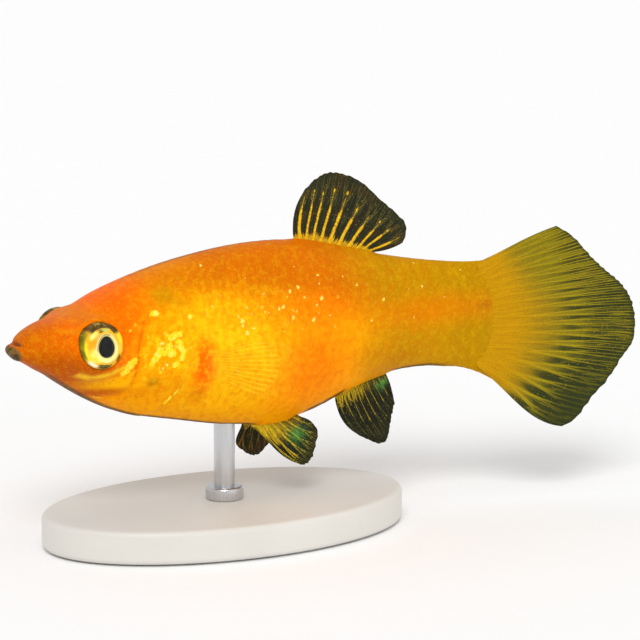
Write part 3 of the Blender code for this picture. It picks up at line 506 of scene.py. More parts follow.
def gilt_at(s, z):
    """How gilt the cheek and gill cover are."""
    gilt = np.zeros(np.shape(s))
    for s0, z0, long, short, turn, strength in GILT:
        c, d = math.cos(math.radians(turn)), math.sin(math.radians(turn))
        along = ((s - s0) * c + (z - z0) * d) / long
        across = ((z - z0) * c - (s - s0) * d) / short
        gilt = np.maximum(gilt, strength * (1 - ease(0.25, 1.35, np.hypot(along, across))))
    away, along = line_distance(s, z, GILL_SKIN_LINE)
    broken = 1 - 0.8 * swell(along - 0.45, 0.06)
    fading = np.sin(math.pi * np.clip(along, 0.05, 0.95)) ** 0.5
    return np.maximum(gilt, 1.2 * swell(away, 0.17) * broken * fading)


def oval(s, z, s0, z0, long, high):
    """1 in the middle of an oval, falling off smoothly round it."""
    return swell((s - s0) / long, 1) * swell((z - z0) / high, 1)


def stretch(at, start, full, fading, end):
    """1 between full and fading, falling off smoothly to 0 at start and end."""
    return ease(start, full, at) * (1 - ease(fading, end, at))


def relief(place):
    """How far the body's forms rise over the plain body, and where shade is painted in grooves and under the
    chin.
    """
    s, y, z = place[..., 0], np.abs(place[..., 1]), place[..., 2]
    slope = (MOUTH_CORNER[1] - MOUTH_FRONT[1]) / (MOUTH_CORNER[0] - MOUTH_FRONT[0])
    off = (z - MOUTH_FRONT[1] - slope * (s - MOUTH_FRONT[0])) / math.hypot(1, slope)
    front = 1 - ease(0.5, 1.9, s)
    cleft = swell(off, 0.11) * (1 - ease(MOUTH_CORNER[0] - 0.25, MOUTH_CORNER[0] + 0.2, s))
    height = LOWER_LIP_RISE * swell(off + 0.8, 0.5) * front + UPPER_LIP_RISE * swell(off - 0.45, 0.3) * front
    height -= MOUTH_DEPTH * cleft + 0.07 * swell(off + 0.1, 0.25) * swell(s - MOUTH_CORNER[0] - 0.2, 0.4)
    # Painted shade in the mouth's cleft and along the underside of the chin.
    dark = 1.1 * cleft + 0.5 * swell(off + 1.75, 0.2) * (1 - ease(0.9, 1.7, s))
    # The nostrils: a rim round each pit, with painted shade in it.
    for s0, z0 in NOSTRILS:
        away = np.hypot(s - s0, z - z0)
        height += NOSTRIL_RIM * swell(away - 0.32, 0.12) - NOSTRIL_DEPTH * swell(away, 0.16)
        dark += 0.22 * swell(away, 0.15)
    # The plates of the cheek, and the gill cover's raised rear edge with a soft step and a faint painted shade
    # behind it.
    away, along = line_distance(s, z, CHEEK_LINE)
    height -= CHEEK_GROOVE * swell(away, 0.28) * np.sin(math.pi * np.clip(along, 0.02, 1)) ** 0.5
    height += GILT_RISE * gilt_at(s, z)
    ahead = gill_line(z) - s
    cover = (1 - ease(3.0, 4.2, z)) * ease(-9.0, -6.6, z)
    height += GILL_STEP * cover * (1 - ease(0.2, 4.0, ahead)) * ease(-0.2, 0.2, ahead)
    dark += 0.05 * cover * swell(ahead + 0.1, 0.12) * (1 - ease(-3.6, -2.0, -z))
    # The fleshy bases of the fins, and the vent.
    height += BREAST_FIN_RISE * oval(s, z, *FIN_BASE, 1.0, 2.1)
    for way, aside, wide, start, full, fading, end, rise in FIN_FLESH:
        height += rise * (z * way > 0) * swell(y - aside, wide) * stretch(s, start, full, fading, end)
    height += VENT_RISE * (z < 0) * swell(y, 0.5) * swell(s - VENT_AT, 0.7)
    return height, np.clip(dark, 0, 1)


def eye_frame(side):
    """The middle of an eye, the way it looks, and its directions towards the tail and up."""
    middle = np.array((EYE_AT[0], side * EYE_AT[1], EYE_AT[2]))
    aim = np.array((EYE_AIM[0], side * EYE_AIM[1], EYE_AIM[2]))
    aim /= np.linalg.norm(aim)
    tailward = np.cross(aim, (0, 0, 1)) * side
    tailward /= np.linalg.norm(tailward)
    return middle, aim, tailward, np.cross(tailward, aim) * side


def round_the_eyes(place):
    """Draws the skin out to each eye in a soft rim, lower over the brow, and sinks it into a socket."""
    for side in (-1, 1):
        middle, aim, tailward, upward = eye_frame(side)
        rel = place - middle
        depth = rel @ aim
        across = rel - depth[..., None] * aim
        radius = np.linalg.norm(across, axis=-1)
        near = (place[..., 1] * side > 0) * 1.0
        brow = ease(-0.2, 0.85, (across @ upward) / np.maximum(radius, 0.01))
        reach = EYE_RADIUS + 1.9 - 1.0 * brow
        rim = -0.12 - 0.75 * brow
        lift = np.maximum(rim - depth, 0) * (1 - ease(EYE_RADIUS - 0.1, reach, radius))
        lift += (0.1 - 0.04 * brow) * swell(radius - EYE_RADIUS - 0.16, 0.24)
        lift -= 2.4 * (1 - ease(EYE_RADIUS - 0.42, EYE_RADIUS + 0.02, radius))
        place = place + (near * lift)[..., None] * aim
    return place


def body_surface(s, angle, over=0.0):
    """Places on the finished body, moved out by over, and how much shade is painted on them."""
    step = 0.02
    place = smooth_body(s, angle)
    along = smooth_body(s + step, angle) - smooth_body(s - step, angle)
    around = smooth_body(s, angle + step) - smooth_body(s, angle - step)
    normal = np.cross(around, along)
    normal /= np.maximum(np.linalg.norm(normal, axis=-1, keepdims=True), 1e-12)
    height, dark = relief(place)
    return round_the_eyes(place + normal * (height + over)[..., None]), dark


def in_world(place):
    """World places, in metres, of places of the straight fish in millimetres."""
    s, y, z = place[..., 0], place[..., 1], place[..., 2]
    radius = (BEND_END - BEND_START) / BEND_ANGLE
    turn = np.clip((s - BEND_START) / radius, 0, BEND_ANGLE)
    beyond = np.maximum(s - BEND_END, 0)
    x = np.minimum(s, BEND_START) + radius * np.sin(turn) + beyond * math.cos(BEND_ANGLE)
    across = -radius * (1 - np.cos(turn)) - beyond * math.sin(BEND_ANGLE)
    world = np.stack((x + y * np.sin(turn) - STAND_AT, across + y * np.cos(turn), z + AXIS_HEIGHT), -1)
    return world * MM


def shade_of(sizes, shade):
    """A linear colour from the name of a setting or a screen colour."""
    return getattr(sizes, shade) if isinstance(shade, str) else tint(*shade)


def lay_over(colour, share, shade, most=1.0):
    """Covers colours, in place, with a shade, by a share of at most the given part."""
    colour += (np.clip(share, 0, 1) * most)[..., None] * (np.array(shade) - colour)


def markings(place, sizes):
    """The body's colours at places of the straight fish, as its coat and skin both show them, with painted
    shade and reflection.
    """
    s, z = place[..., 0], place[..., 2]
    top, bottom, widest = section(s)[:3]
    rise = np.where(z > widest, (z - widest) / (top - widest), (z - widest) / (widest - bottom))
    colour = np.empty(place.shape)
    colour[:] = sizes.gold

    def lay(share, shade, most=1.0):
        lay_over(colour, share, shade, most)

    def patch(s0, z0, long, high, edge):
        return 1 - ease(1 - edge, 1 + edge, np.hypot((s - s0) / long, (z - z0) / high))

    def lay_patches(patches):
        for *form, shade, most in patches:
            lay(patch(*form), shade_of(sizes, shade), most)

    # A brighter gold behind the gills: the scales' own gold, with a painted reflection.
    lay(patch(23.5, -0.9, 6.2, 4.8, 0.9), sizes.bright_gold, 0.95)
    lay(ease(0.35, 0.85, rise + 0.02 * (s - 22)) * ease(14, 22, s), sizes.back, 0.9)
    lay_patches(FLANK_PATCHES)
    lay(ease(36.5, 45.5, s + 0.28 * z), sizes.olive, 0.95)
    lay(ease(47, 56, s), sizes.stem, 0.95)
    lay_patches(STEM_PATCHES)
    lay(1 - ease(9.0, 17.0, s + 0.5 * np.maximum(-z, 0) - 0.4 * np.maximum(z, 0)), sizes.orange)
    lay(1 - ease(2.0, 9.5, s + 0.25 * z), sizes.snout, 0.85)
    lay((1 - ease(7.2, 11.0, s)) * (1 - ease(-1.2, 1.2, z)), sizes.throat, 0.9)
    lay_patches(HEAD_PATCHES)
    away, along = line_distance(s, z, EYE_BAND)
    lay(swell(away, 0.3) * ease(0, 0.08, along), tint(255, 200, 34), 0.95)
    lay_patches(SMALL_PATCHES)
    lay(patch(*TAIL_SPOT, 0.9, 0.5, 0.9), TAIL_SPOT_RED, 0.5)
    # Painted shade: a deeper orange along the groove of the cheek plates.
    away, along = line_distance(s, z, CHEEK_LINE)
    lay(swell(away, 0.24) * (1 - ease(0.4, 0.75, along)), tint(214, 84, 2), 0.6)
    # Painted shade: a dark line under the belly, broken at the lower fins, and a faint one along the back, on
    # its far side.
    bare = 1 - np.maximum(*(stretch(s, *ends) for ends in UNSHADED_BELLY))
    deep = BELLY_SHADE + BELLY_SHADE_ADDED * stretch(s, *DEEP_BELLY_SHADE)
    line = (1 - ease(deep, deep + 0.3, z - bottom)) * bare
    lay(line * stretch(s, 1.5, 6, 49, 53), tint(52, 40, 14), 0.9)
    back_edge_shade = stretch(place[..., 1], -0.3, 0.6, 1.4, 2.4) * (z > widest)
    lay(back_edge_shade * stretch(s, 12, 20, 50, 57), tint(120, 72, 10), 0.6)
    return colour


def select_only(piece):
    """Selects one piece alone, and makes it the active one."""
    bpy.ops.object.select_all(action="DESELECT")
    piece.select_set(True)
    bpy.context.view_layer.objects.active = piece


def started(name):
    """The primitive that was just added, under its piece's name, and its points."""
    piece = bpy.context.object
    piece.name = name
    points = np.empty(len(piece.data.vertices) * 3)
    piece.data.vertices.foreach_get("co", points)
    return piece, points.reshape(-1, 3)


def start_ball(name, segments, rings):
    """A ball to shape, its points' shares of the way from pole to pole, and their turns about the poles."""
    bpy.ops.object.select_all(action="DESELECT")
    bpy.ops.mesh.primitive_uv_sphere_add(segments=segments, ring_count=rings, radius=1.0)
    piece, points = started(name)
    share = np.arccos(np.clip(points[:, 2], -1, 1)) / math.pi
    return piece, share, np.arctan2(points[:, 1], points[:, 0])


def start_grid(name, columns, rows):
    """A flat grid to shape, and its points' places on it, from 0 to 1."""
    bpy.ops.object.select_all(action="DESELECT")
    bpy.ops.mesh.primitive_grid_add(x_subdivisions=columns, y_subdivisions=rows, size=1.0)
    piece, points = started(name)
    return piece, points[:, :2] + 0.5


def set_places(piece, places):
    """Moves a piece's points to world places in metres."""
    piece.data.vertices.foreach_set("co", np.ascontiguousarray(places, np.float32).ravel())
    piece.data.update()


def add_values(piece, name, values):
    """Gives a mesh a named value or vector at each point."""
    values = np.asarray(values, np.float32)
    kind, key = ("FLOAT_VECTOR", "vector") if values.ndim == 2 else ("FLOAT", "value")
    made = piece.data.attributes.new(name, kind, "POINT")
    made.data.foreach_set(key, np.ascontiguousarray(values).ravel())


def values_of(piece, name):
    """A mesh's named value at each point."""
    values = np.empty(len(piece.data.vertices), np.float32)
    piece.data.attributes[name].data.foreach_get("value", values)
    return values


def add_colours(piece, name, colours):
    """Gives a mesh a named colour at each point."""
    rgba = np.ones((len(colours), 4), np.float32)
    rgba[:, :3] = colours
    made = piece.data.color_attributes.new(name, "FLOAT_COLOR", "POINT")
    made.data.foreach_set("color", rgba.ravel())


def add_uv(piece, name, uv):
    """Gives a mesh a UV map from a place for each point."""
    layer = piece.data.uv_layers.new(name=name)
    corners = np.empty(len(piece.data.loops), np.int32)
    piece.data.loops.foreach_get("vertex_index", corners)
    layer.data.foreach_set("uv", np.ascontiguousarray(uv[corners], np.float32).ravel())


def turn_outwards(piece, merge=False):
    """Turns a piece's faces outwards, after its doubled points are merged where that is asked for."""
    select_only(piece)
    bpy.ops.object.mode_set(mode="EDIT")
    bpy.ops.mesh.select_all(action="SELECT")
    if merge:
        bpy.ops.mesh.remove_doubles(threshold=0.000001)
    bpy.ops.mesh.normals_make_consistent(inside=False)
    bpy.ops.object.mode_set(mode="OBJECT")


def finish_piece(piece, material, replaced=(), crease=None):
    """Shades a piece smooth, up to a crease in degrees, gives it its material and hangs it on the model."""
    select_only(piece)
    bpy.ops.object.shade_smooth()
    if crease is not None:
        bpy.ops.object.shade_smooth_by_angle(angle=math.radians(crease))
    piece.data.materials.clear()
    piece.data.materials.append(material)
    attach(piece, "root")
    if replaced:
        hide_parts(*replaced)


class Paint:
    """A material built up in layers. Its calls add shader nodes, and most return a socket."""

    def __init__(self, name, roughness=0.4, metallic=0.0, specular=0.5, alpha=1.0):
        self.material = bpy.data.materials.new(name)
        self.material.use_nodes = True
        self.tree = self.material.node_tree
        self.shader = self.tree.nodes["Principled BSDF"]
        self.shader.inputs["Roughness"].default_value = roughness
        self.shader.inputs["Metallic"].default_value = metallic
        self.shader.inputs["Specular IOR Level"].default_value = specular
        self.shader.inputs["Alpha"].default_value = alpha
        self.colour = None

    def feed(self, socket, value):
        """Links a socket, or sets it to a plain value or colour."""
        if isinstance(value, bpy.types.NodeSocket):
            self.tree.links.new(value, socket)
        elif socket.type == "RGBA":
            socket.default_value = (*tuple(value)[:3], 1.0)
        else:
            socket.default_value = value

    def node(self, kind, feeds=(), **settings):
        """Adds a node with its settings, and feeds its inputs."""
        made = self.tree.nodes.new(kind)
        for key, value in settings.items():
            setattr(made, key, value)
        for key, value in dict(feeds).items():
            self.feed(made.inputs[key], value)
        return made

    def surface(self, socket_name, value):
        """Feeds an input of the surface's shader."""
        self.feed(self.shader.inputs[socket_name], value)

    def attribute(self, name, output="Fac"):
        """A value, vector or colour that the mesh carries."""
        return self.node("ShaderNodeAttribute", attribute_name=name).outputs[output]

    def objects(self):
        """The place on the object."""
        return self.node("ShaderNodeTexCoord").outputs["Object"]

    def uv(self, name):
        """The place on a UV map, in its parts."""
        return self.split(self.node("ShaderNodeUVMap", uv_map=name).outputs["UV"])

    def split(self, vector):
        """The parts of a vector, as X, Y and Z."""
        return self.node("ShaderNodeSeparateXYZ", {"Vector": vector}).outputs

    def join(self, x, y, z=0.0):
        """A vector from its parts."""
        return self.node("ShaderNodeCombineXYZ", {"X": x, "Y": y, "Z": z}).outputs["Vector"]

    def math(self, operation, first, second=0.0):
        """The result of an operation on one or two values."""
        return self.node("ShaderNodeMath", {0: first, 1: second}, operation=operation).outputs[0]

    def times(self, product, *factors):
        """The product of values."""
        for factor in factors:
            product = self.math("MULTIPLY", product, factor)
        return product

    def rest(self, value):
        """What a value leaves of 1."""
        return self.math("SUBTRACT", 1.0, value)

    def step(self, low, high, value, start=0.0, end=1.0):
        """A smooth step from start to end as a value goes from low to high."""
        feeds = {"Value": value, "From Min": low, "From Max": high, "To Min": start, "To Max": end}
        return self.node("ShaderNodeMapRange", feeds, interpolation_type="SMOOTHSTEP").outputs["Result"]

    def mix(self, share, first, second):
        """A mix of two colours, with a share of the second."""
        return self.node("ShaderNodeMix", {0: share, 6: first, 7: second}, data_type="RGBA").outputs[2]

    def lay(self, share, shade, most=1.0):
        """Covers the colour so far with a shade, by a share of at most the given part."""
        self.colour = self.mix(share if most == 1.0 else self.times(share, most), self.colour, shade)

    def shaken(self, vector, scale, reach):
        """A place moved about by noise, which makes the shapes drawn from it uneven."""
        noise = self.node("ShaderNodeTexNoise", {"Vector": vector, "Scale": scale, "Detail": 2.0})
        feeds = {0: noise.outputs["Color"], 1: (0.5, 0.5, 0.5)}
        centred = self.node("ShaderNodeVectorMath", feeds, operation="SUBTRACT")
        moved = self.node("ShaderNodeVectorMath", {0: centred.outputs[0], "Scale": reach}, operation="SCALE")
        return self.node("ShaderNodeVectorMath", {0: vector, 1: moved.outputs[0]}, operation="ADD").outputs[0]

    def noise(self, vector, scale, detail, rough):
        """Smooth noise from 0 to 1."""
        feeds = {"Vector": vector, "Scale": scale, "Detail": detail, "Roughness": rough}
        return self.node("ShaderNodeTexNoise", feeds).outputs["Fac"]

    def streaks(self, place, count):
        """Noise that is drawn out along the rays of a fin."""
        drawn_out = self.join(self.times(place["X"], count), self.times(place["Y"], 4.0))
        return self.noise(drawn_out, 1.0, 3.0, 0.6)

    def cells(self, vector, scale):
        """Scattered cells, with a colour each and the distance to the middle."""
        feeds = {"Vector": vector, "Scale": scale, "Randomness": 1.0}
        return self.node("ShaderNodeTexVoronoi", feeds).outputs

    def finish(self, height, strength, distance):
        """Gives the surface its colour and a fine relief, and returns the material."""
        bump = self.node("ShaderNodeBump", {"Height": height, "Strength": strength, "Distance": distance})
        self.surface("Base Color", self.colour)
        self.surface("Normal", bump.outputs["Normal"])
        return self.material


def body_paint(name, sizes, scaled):
    """The skin's or the scales' material: markings, grain, mottling, painted glints and shade, and a wet
    satin.
    """
    paint = Paint(name, roughness=0.42, specular=0.06)
    paint.surface("Specular Tint", WARM_SHINE)
    lie = paint.attribute("lie", "Vector")
    grain = paint.noise(lie, 4.2, 2.0, 0.65)
    mottle = paint.noise(lie, 1.5, 3.0, 0.6)
    gilt_here, flecks = paint.attribute("gilt"), paint.attribute("flecks")
    paint.colour = paint.attribute("tint", "Color")
    gilding = paint.math("ADD", paint.times(paint.attribute("gilding"), 0.75), 0.1)
    paint.lay(paint.times(paint.step(0.47, 0.66, mottle), gilding), sizes.yellow)
    paint.lay(paint.times(paint.step(0.5, 0.32, mottle), paint.attribute("warm")), DUSKY_RED)
    deep = paint.math("ADD", 0.17, paint.times(paint.attribute("blotchy"), 0.1))
    paint.lay(paint.times(paint.step(0.47, 0.3, grain), deep), DUSKY_BROWN)
    paint.lay(paint.step(0.55, 0.72, grain), LIT_GOLD, 0.18)
    # Flecks, painted glints of shiny scales: broken dots in some of the scattered cells.
    cell = paint.cells(paint.shaken(lie, 5.0, 0.5), 1.8)
    drawn = paint.split(cell["Color"])
    allowed = paint.math("LESS_THAN", drawn["X"], paint.times(flecks, 0.5))
    size = paint.times(paint.step(0.2, 1.0, drawn["Y"], 0.2, 0.6), paint.step(0.0, 0.6, flecks, 0.5, 1.0))
    core = paint.step(size, paint.times(size, 0.4), cell["Distance"])
    dot = paint.times(core, allowed, paint.step(0.34, 0.5, grain, 0.4, 1.0))
    fleck = paint.math("MAXIMUM", dot, paint.attribute("glint"))
    # Gilt patches with frayed edges and brighter grains.
    gilt = paint.math("ADD", gilt_here, paint.times(paint.math("SUBTRACT", mottle, 0.5), 1.5))
    gilt = paint.times(paint.step(0.3, 0.62, gilt), paint.step(0.05, 0.25, gilt_here),
                       paint.step(0.3, 0.5, grain, 0.65, 1.0))
    paint.lay(gilt, sizes.yellow)
    paint.lay(paint.times(paint.step(0.48, 0.68, grain), gilt), sizes.fleck)
    paint.lay(fleck, sizes.fleck)
    height = grain
    if scaled:
        back = paint.attribute("vane")
        paint.lay(paint.step(0.88, 1.0, back), SCALE_RIM, 0.025)
        rings = paint.math("SINE", paint.times(back, 46.0))
        height = paint.math("ADD", paint.times(rings, 0.15), grain)
    else:
        # On the skin, painted shade in the mouth's cleft, under the chin, in the nostrils and behind the gill
        # covers.
        paint.lay(paint.attribute("dark"), sizes.dark, 0.85)
        speckled = paint.times(paint.attribute("lip"), paint.step(0.3, 0.5, grain, 0.75, 1.0))
        paint.lay(speckled, paint.mix(paint.step(0.4, 0.62, mottle), sizes.dark, sizes.lip))
    rough = paint.math("ADD", 0.34, paint.times(grain, 0.2))
    paint.surface("Roughness", paint.math("SUBTRACT", rough, paint.times(fleck, 0.14)))
    return paint.finish(height, 0.5, 0.00005)


def body_values(piece, place, sizes, shade=1.0, scaled=False):
    """Stores on a mesh the values that the body's material reads."""
    s, z = place[:, 0], place[:, 2]
    add_values(piece, "lie", place)
    add_colours(piece, "tint", np.clip(markings(place, sizes) * np.reshape(shade, (-1, 1)), 0, 1))
    behind_gills, cover = oval(s, z, *BEHIND_GILLS), oval(s, z, *GILL_COVER)
    add_values(piece, "gilding", np.clip(0.6 * behind_gills + 1.2 * cover + 0.8 * oval(s, z, *CHEEK), 0, 1))
    # Where the flecks, painted glints of shiny scales, gather, and on the skin the painted glints of the gill
    # cover.
    flecks = 0.95 * oval(s, z, *UPPER_FLANK) + 0.35 * oval(s, z, *STEM_TOP)
    add_values(piece, "flecks", np.clip(flecks + 0.5 * cover + 0.15 * behind_gills, 0, 1))
    glint = np.zeros(len(s))
    if not scaled:
        for s0, z0, size in PAINTED_GLINTS:
            glint = np.maximum(glint, 1 - ease(0.3, 1.1, np.hypot(s - s0, (z - z0) * 0.85) / size))
    add_values(piece, "glint", glint)
    add_values(piece, "blotchy", 1 - ease(7.0, 15.0, s))
    calm = oval(s, z, *FIN_BASE, 1.6, 3.0)
    add_values(piece, "warm", 0.3 * (1 - 0.85 * ease(44, 53, s)) * (1 - 0.9 * calm))
    add_values(piece, "gilt", gilt_at(s, z))


class MOLLY_OT_skin(bpy.types.Operator):
    """Builds the one skin of head, trunk and tail stem, with mouth, nostrils, sockets and gill covers"""

    bl_idname = "molly.skin"
    bl_label = "Skin"

    def execute(self, context):
        sizes = context.scene.molly_skin
        piece, back_share, angle = start_ball("molly_skin", sizes.sides, sizes.rings)
        # Rings from the tail's end to the snout, closest together over the head and round the snout.
        full = SNOUT_START + SNOUT_ROUND
        spread = [(0.0, TAIL_TIP), (0.085, 54.0), (0.47, 20.0), (0.92, full), (1.0, SNOUT_START)]
        s = np.interp(back_share, *zip(*spread))
        turn = np.clip((1 - back_share) / 0.08, 0, 1) * math.pi / 2
        s = np.where(s < full, full - SNOUT_ROUND * np.cos(turn), s)
        place, dark = body_surface(s, angle, over=-sizes.coat_depth / MM)
        set_places(piece, in_world(place))
        body_values(piece, place, sizes)
        # The painted shade of the mouth, chin, nostrils and gill covers' edge.
        add_values(piece, "dark", dark)
        s, y, z = place.T
        lip = 1 - ease(0.5, 0.85, s + 0.35 * (z - 0.1) - 0.1 * np.abs(y))
        add_values(piece, "lip", lip * (1 - ease(0.9, 1.05, z + 0.05 * s)))
        nodes = ("head", "lower_jaw", "gill_cover_left", "gill_cover_right", "trunk", "tail_stem")
        finish_piece(piece, body_paint("molly_skin", sizes, scaled=False), nodes)
        return {"FINISHED"}


def round_table():
    """Distances along the body, and at each the angles at equal shares of the way round from the belly."""
    along = np.linspace(SNOUT_START + SNOUT_ROUND, TAIL_TIP, 140)
    angles = np.linspace(-math.pi / 2, 1.5 * math.pi, 721)
    shares = np.linspace(0, 1, 361)
    table = np.empty((len(along), len(shares)))
    for k, s in enumerate(along):
        ring = smooth_body(np.full(len(angles), s), angles)[:, 1:]
        length = np.concatenate(([0], np.cumsum(np.linalg.norm(np.diff(ring, axis=0), axis=1))))
        table[k] = np.interp(shares, length / length[-1], angles)
    return along, table


def angle_at(s, share, along, table):
    """The angle round the body at distances back and shares of the way round, from the belly."""
    row = np.clip((s - along[0]) / (along[-1] - along[0]) * (len(along) - 1), 0, len(along) - 1.001)
    column = np.mod(share, 1.0) * (table.shape[1] - 1)
    i, j = row.astype(int), np.minimum(column.astype(int), table.shape[1] - 2)
    di, dj = row - i, column - j
    low = table[i, j] * (1 - dj) + table[i, j + 1] * dj
    high = table[i + 1, j] * (1 - dj) + table[i + 1, j + 1] * dj
    return low * (1 - di) + high * di


def scale_roots(rows, pitch, along, table):
    """Each scale's root, its share of the way round, its length, its turn aside and its shade."""
    rng = np.random.default_rng(7)
    roots = []
    for row in range(rows):
        share = row / rows
        s = SCALES_FROM + (row % 2) * pitch / 2
        while s < SCALES_TO:
            size = pitch * (1 - 0.16 * ease(44, 56, s)) * (1 - 0.18 * (1 - ease(14, 22, s)))
            s += size
            at = np.array([s])
            z = smooth_body(at, angle_at(at, np.array([share]), along, table))[0, 2]
            start = gill_line(z) + 0.1 if z < 3.6 else 12.0 + 0.4 * max(0, 7.0 - z)
            draws = rng.random(4)
            if s >= start:
                length = size * SCALE_LENGTH * (0.97 + 0.06 * draws[0])
                roots.append((s, share, length, (draws[1] - 0.5) * 0.0015, 0.95 + 0.08 * draws[3]))
    return np.array(roots)


def scale_faces(quads, count, total):
    """The faces of all scales, from those of one side: upper sides, undersides, and walls round the rims."""
    edges = [(a, b) for quad in quads for a, b in zip(quad, quad[1:] + quad[:1])]
    inner = set(edges)
    rim = [(a, b) for a, b in edges if (b, a) not in inner]
    upper = np.array(quads)
    walls = np.array([(a, b, b + count, a + count) for a, b in rim])
    single = np.concatenate((upper, upper[:, ::-1] + count, walls[:, ::-1]))
    return (single[None] + (np.arange(total) * 2 * count)[:, None, None]).reshape(-1, 4)


class MOLLY_OT_scales(bpy.types.Operator):
    """Lays the scales over the skin in rows, each a thin curved plate that overlaps the one behind"""

    bl_idname = "molly.scales"
    bl_label = "Scales"

    def execute(self, context):
        sizes = context.scene.molly_skin
        along, table = round_table()
        rows = sizes.scale_rows
        pattern, grid = start_grid("scale_pattern", 5, 8)
        quads = [tuple(face.vertices) for face in pattern.data.polygons]
        bpy.data.objects.remove(pattern)
        back, across = grid[:, 0], grid[:, 1] * 2 - 1
        far = back * (1 - 0.3 * across**2) + 0.12 * across**2 * (1 - back)
        broad = across * (0.62 + 0.38 * np.sin(math.pi / 2 * np.clip(back / 0.55, 0, 1)))
        roots = scale_roots(rows, sizes.scale_pitch / MM, along, table)
        s, share, long, shift, shade = (column[:, None] for column in roots.T)
        at_s = s + far * long
        angle = angle_at(at_s, share + broad * SCALE_BREADTH / rows + shift, along, table)
        raised = SCALE_SINK + SCALE_LIFT * back**1.2 + SCALE_EDGE * (1 - across**2) * back
        raised -= sizes.coat_depth / MM
        upper = body_surface(at_s, angle, raised)[0]
        under = body_surface(at_s, angle, raised - 0.008 - 0.014 * (1 - back))[0]
        place = np.concatenate((upper, under), axis=1).reshape(-1, 3)

        def twice(*values):
            """Values for each point of both sides of every scale."""
            both = np.stack([np.broadcast_to(value, at_s.shape) for value in values], -1)
            return np.concatenate((both, both), axis=1).reshape(len(place), -1)

        faces = scale_faces(quads, len(grid), len(roots))
        mesh = bpy.data.meshes.new("molly_scales")
        mesh.from_pydata(in_world(place).tolist(), [], faces.tolist())
        piece = bpy.data.objects.new("molly_scales", mesh)
        context.scene.collection.objects.link(piece)
        body_values(piece, place, sizes, twice(shade), scaled=True)
        add_values(piece, "vane", twice(back)[:, 0])
        add_uv(piece, "OFBake", twice(s / UNWRAP_LENGTH + (back - 0.5) * PATCH_LENGTH,
                                      share + across * PATCH_LENGTH / 2))
        turn_outwards(piece)
        finish_piece(piece, body_paint("molly_scale", sizes, scaled=True), crease=40)
        return {"FINISHED"}


def lerp(a, b, t):
    """The value a share t of the way from a to b."""
    return a + (b - a) * t


def fin_root(kind, side, u):
    """The line along which a fin leaves the body, as in the solids."""
    flat = np.zeros_like(u)
    if kind == "dorsal":
        s = lerp(*DORSAL_ROOT, curve(DORSAL_SPREAD, u))
        return np.stack((s, flat, section(s)[0] + GAP * (1 - u**6)), -1)
    if kind == "anal":
        s = lerp(*ANAL_ROOT, u)
        return np.stack((s, flat, section(s)[1] - GAP), -1)
    if kind == "caudal":
        top, bottom = (float(value) for value in section(np.array(FLESH_END))[:2])
        z = lerp(top - 0.08, bottom + 0.15, u)
        return np.stack((FLESH_END - FLESH_BOW * (z - FLESH_LEVEL) ** 2 + GAP, flat, z), -1)
    if kind == "pelvic":
        s = lerp(*PELVIC_ROOT, u)
        _, bottom, widest, half, _, power = section(s)
        z = widest - (widest - bottom) * (1 - (PELVIC_APART / half) ** power) ** (1 / power)
        return np.stack((s, flat + side * PELVIC_APART, z - 1.5 * GAP * (1 - u**6)), -1)
    (s0, z0), (s1, z1) = PECTORAL_ROOT
    s, z = lerp(s0, s1, u), lerp(z0, z1, u)
    return np.stack((s, side * (flank(s, z) + GAP), z), -1)


def fin_places(kind, side, edge, form, u, v):
    """Places on the middle surface of a fin, and the way out: u runs from ray to ray, v from root to edge."""
    start = fin_root(kind, side, u)
    end = np.stack([curve([(point[0], point[k]) for point in edge], u) for k in (1, 2, 3)], -1)
    end[:, 1] *= side
    along = end - start
    forward = np.stack((-along[:, 2], np.zeros(len(u)), along[:, 0]), -1)
    forward /= np.linalg.norm(forward, axis=1, keepdims=True)
    if form["even"]:
        bow = curve(form["bow"], u) * v * (1 - v) * 4
    else:
        bow = curve(form["bow"], u) * np.sign(v) * v * v * (1 - v) * 27 / 4
    place = start + along * v[:, None] + forward * bow[:, None]
    place[:, 1] += form["sway"] * v * v * np.sin(3.0 * u + 0.5)
    if kind == "pectoral":
        place[:, 1] += side * 0.8 * ease(0.0, 0.16, v)
    return place, along / np.linalg.norm(along, axis=1, keepdims=True)


def ray_strength(form, u, v, rng):
    """1 on the branches of rays that part twice, 1 on the line along their middle, and each ray's number."""
    rays = form["rays"]
    cell = np.clip(u * rays, 0, rays - 1e-6)
    number = np.floor(cell).astype(int)
    local = cell - number - 0.5 + (rng.random(rays) * 0.08 - 0.04)[number] * (1 - v)
    (first, first_end), (second, second_end) = form["parts"]
    shift = (rng.random(rays) * 0.12 - 0.06)[number]
    once = 0.25 * ease(first + shift, first_end, v)
    twice = 0.125 * ease(second + shift, second_end, v)
    away = np.full(len(u), 9.0)
    for a in (-1, 1):
        for b in (-1, 1):
            away = np.minimum(away, np.abs(local - a * once - b * twice))
    return swell(away, curve(form["wide"], v)), swell(local, curve(form["core"], v)), number


def gold_on_rays(kind, u, v, ray, core, number):
    """How gold a dark fin's rays are. The back fin has bright beads and thin gold lines as well."""
    reach = np.array(GOLD_REACH[kind])[number]
    fading = 1 - ease(reach - 0.08, reach + 0.08, v)
    if kind != "dorsal":
        return ray * fading
    off = (u * FINS[kind]["rays"]) % 1.0 - 0.5
    beyond = swell(off, 0.055) * (1 - ease(reach + 0.12, reach + 0.36, v))
    bead_at = np.array(BEADS)[number]
    bead = swell(off, 0.07) * swell(v - bead_at, 0.034) * (bead_at > 0)
    return np.maximum(np.maximum(core * fading, 0.55 * beyond), bead)


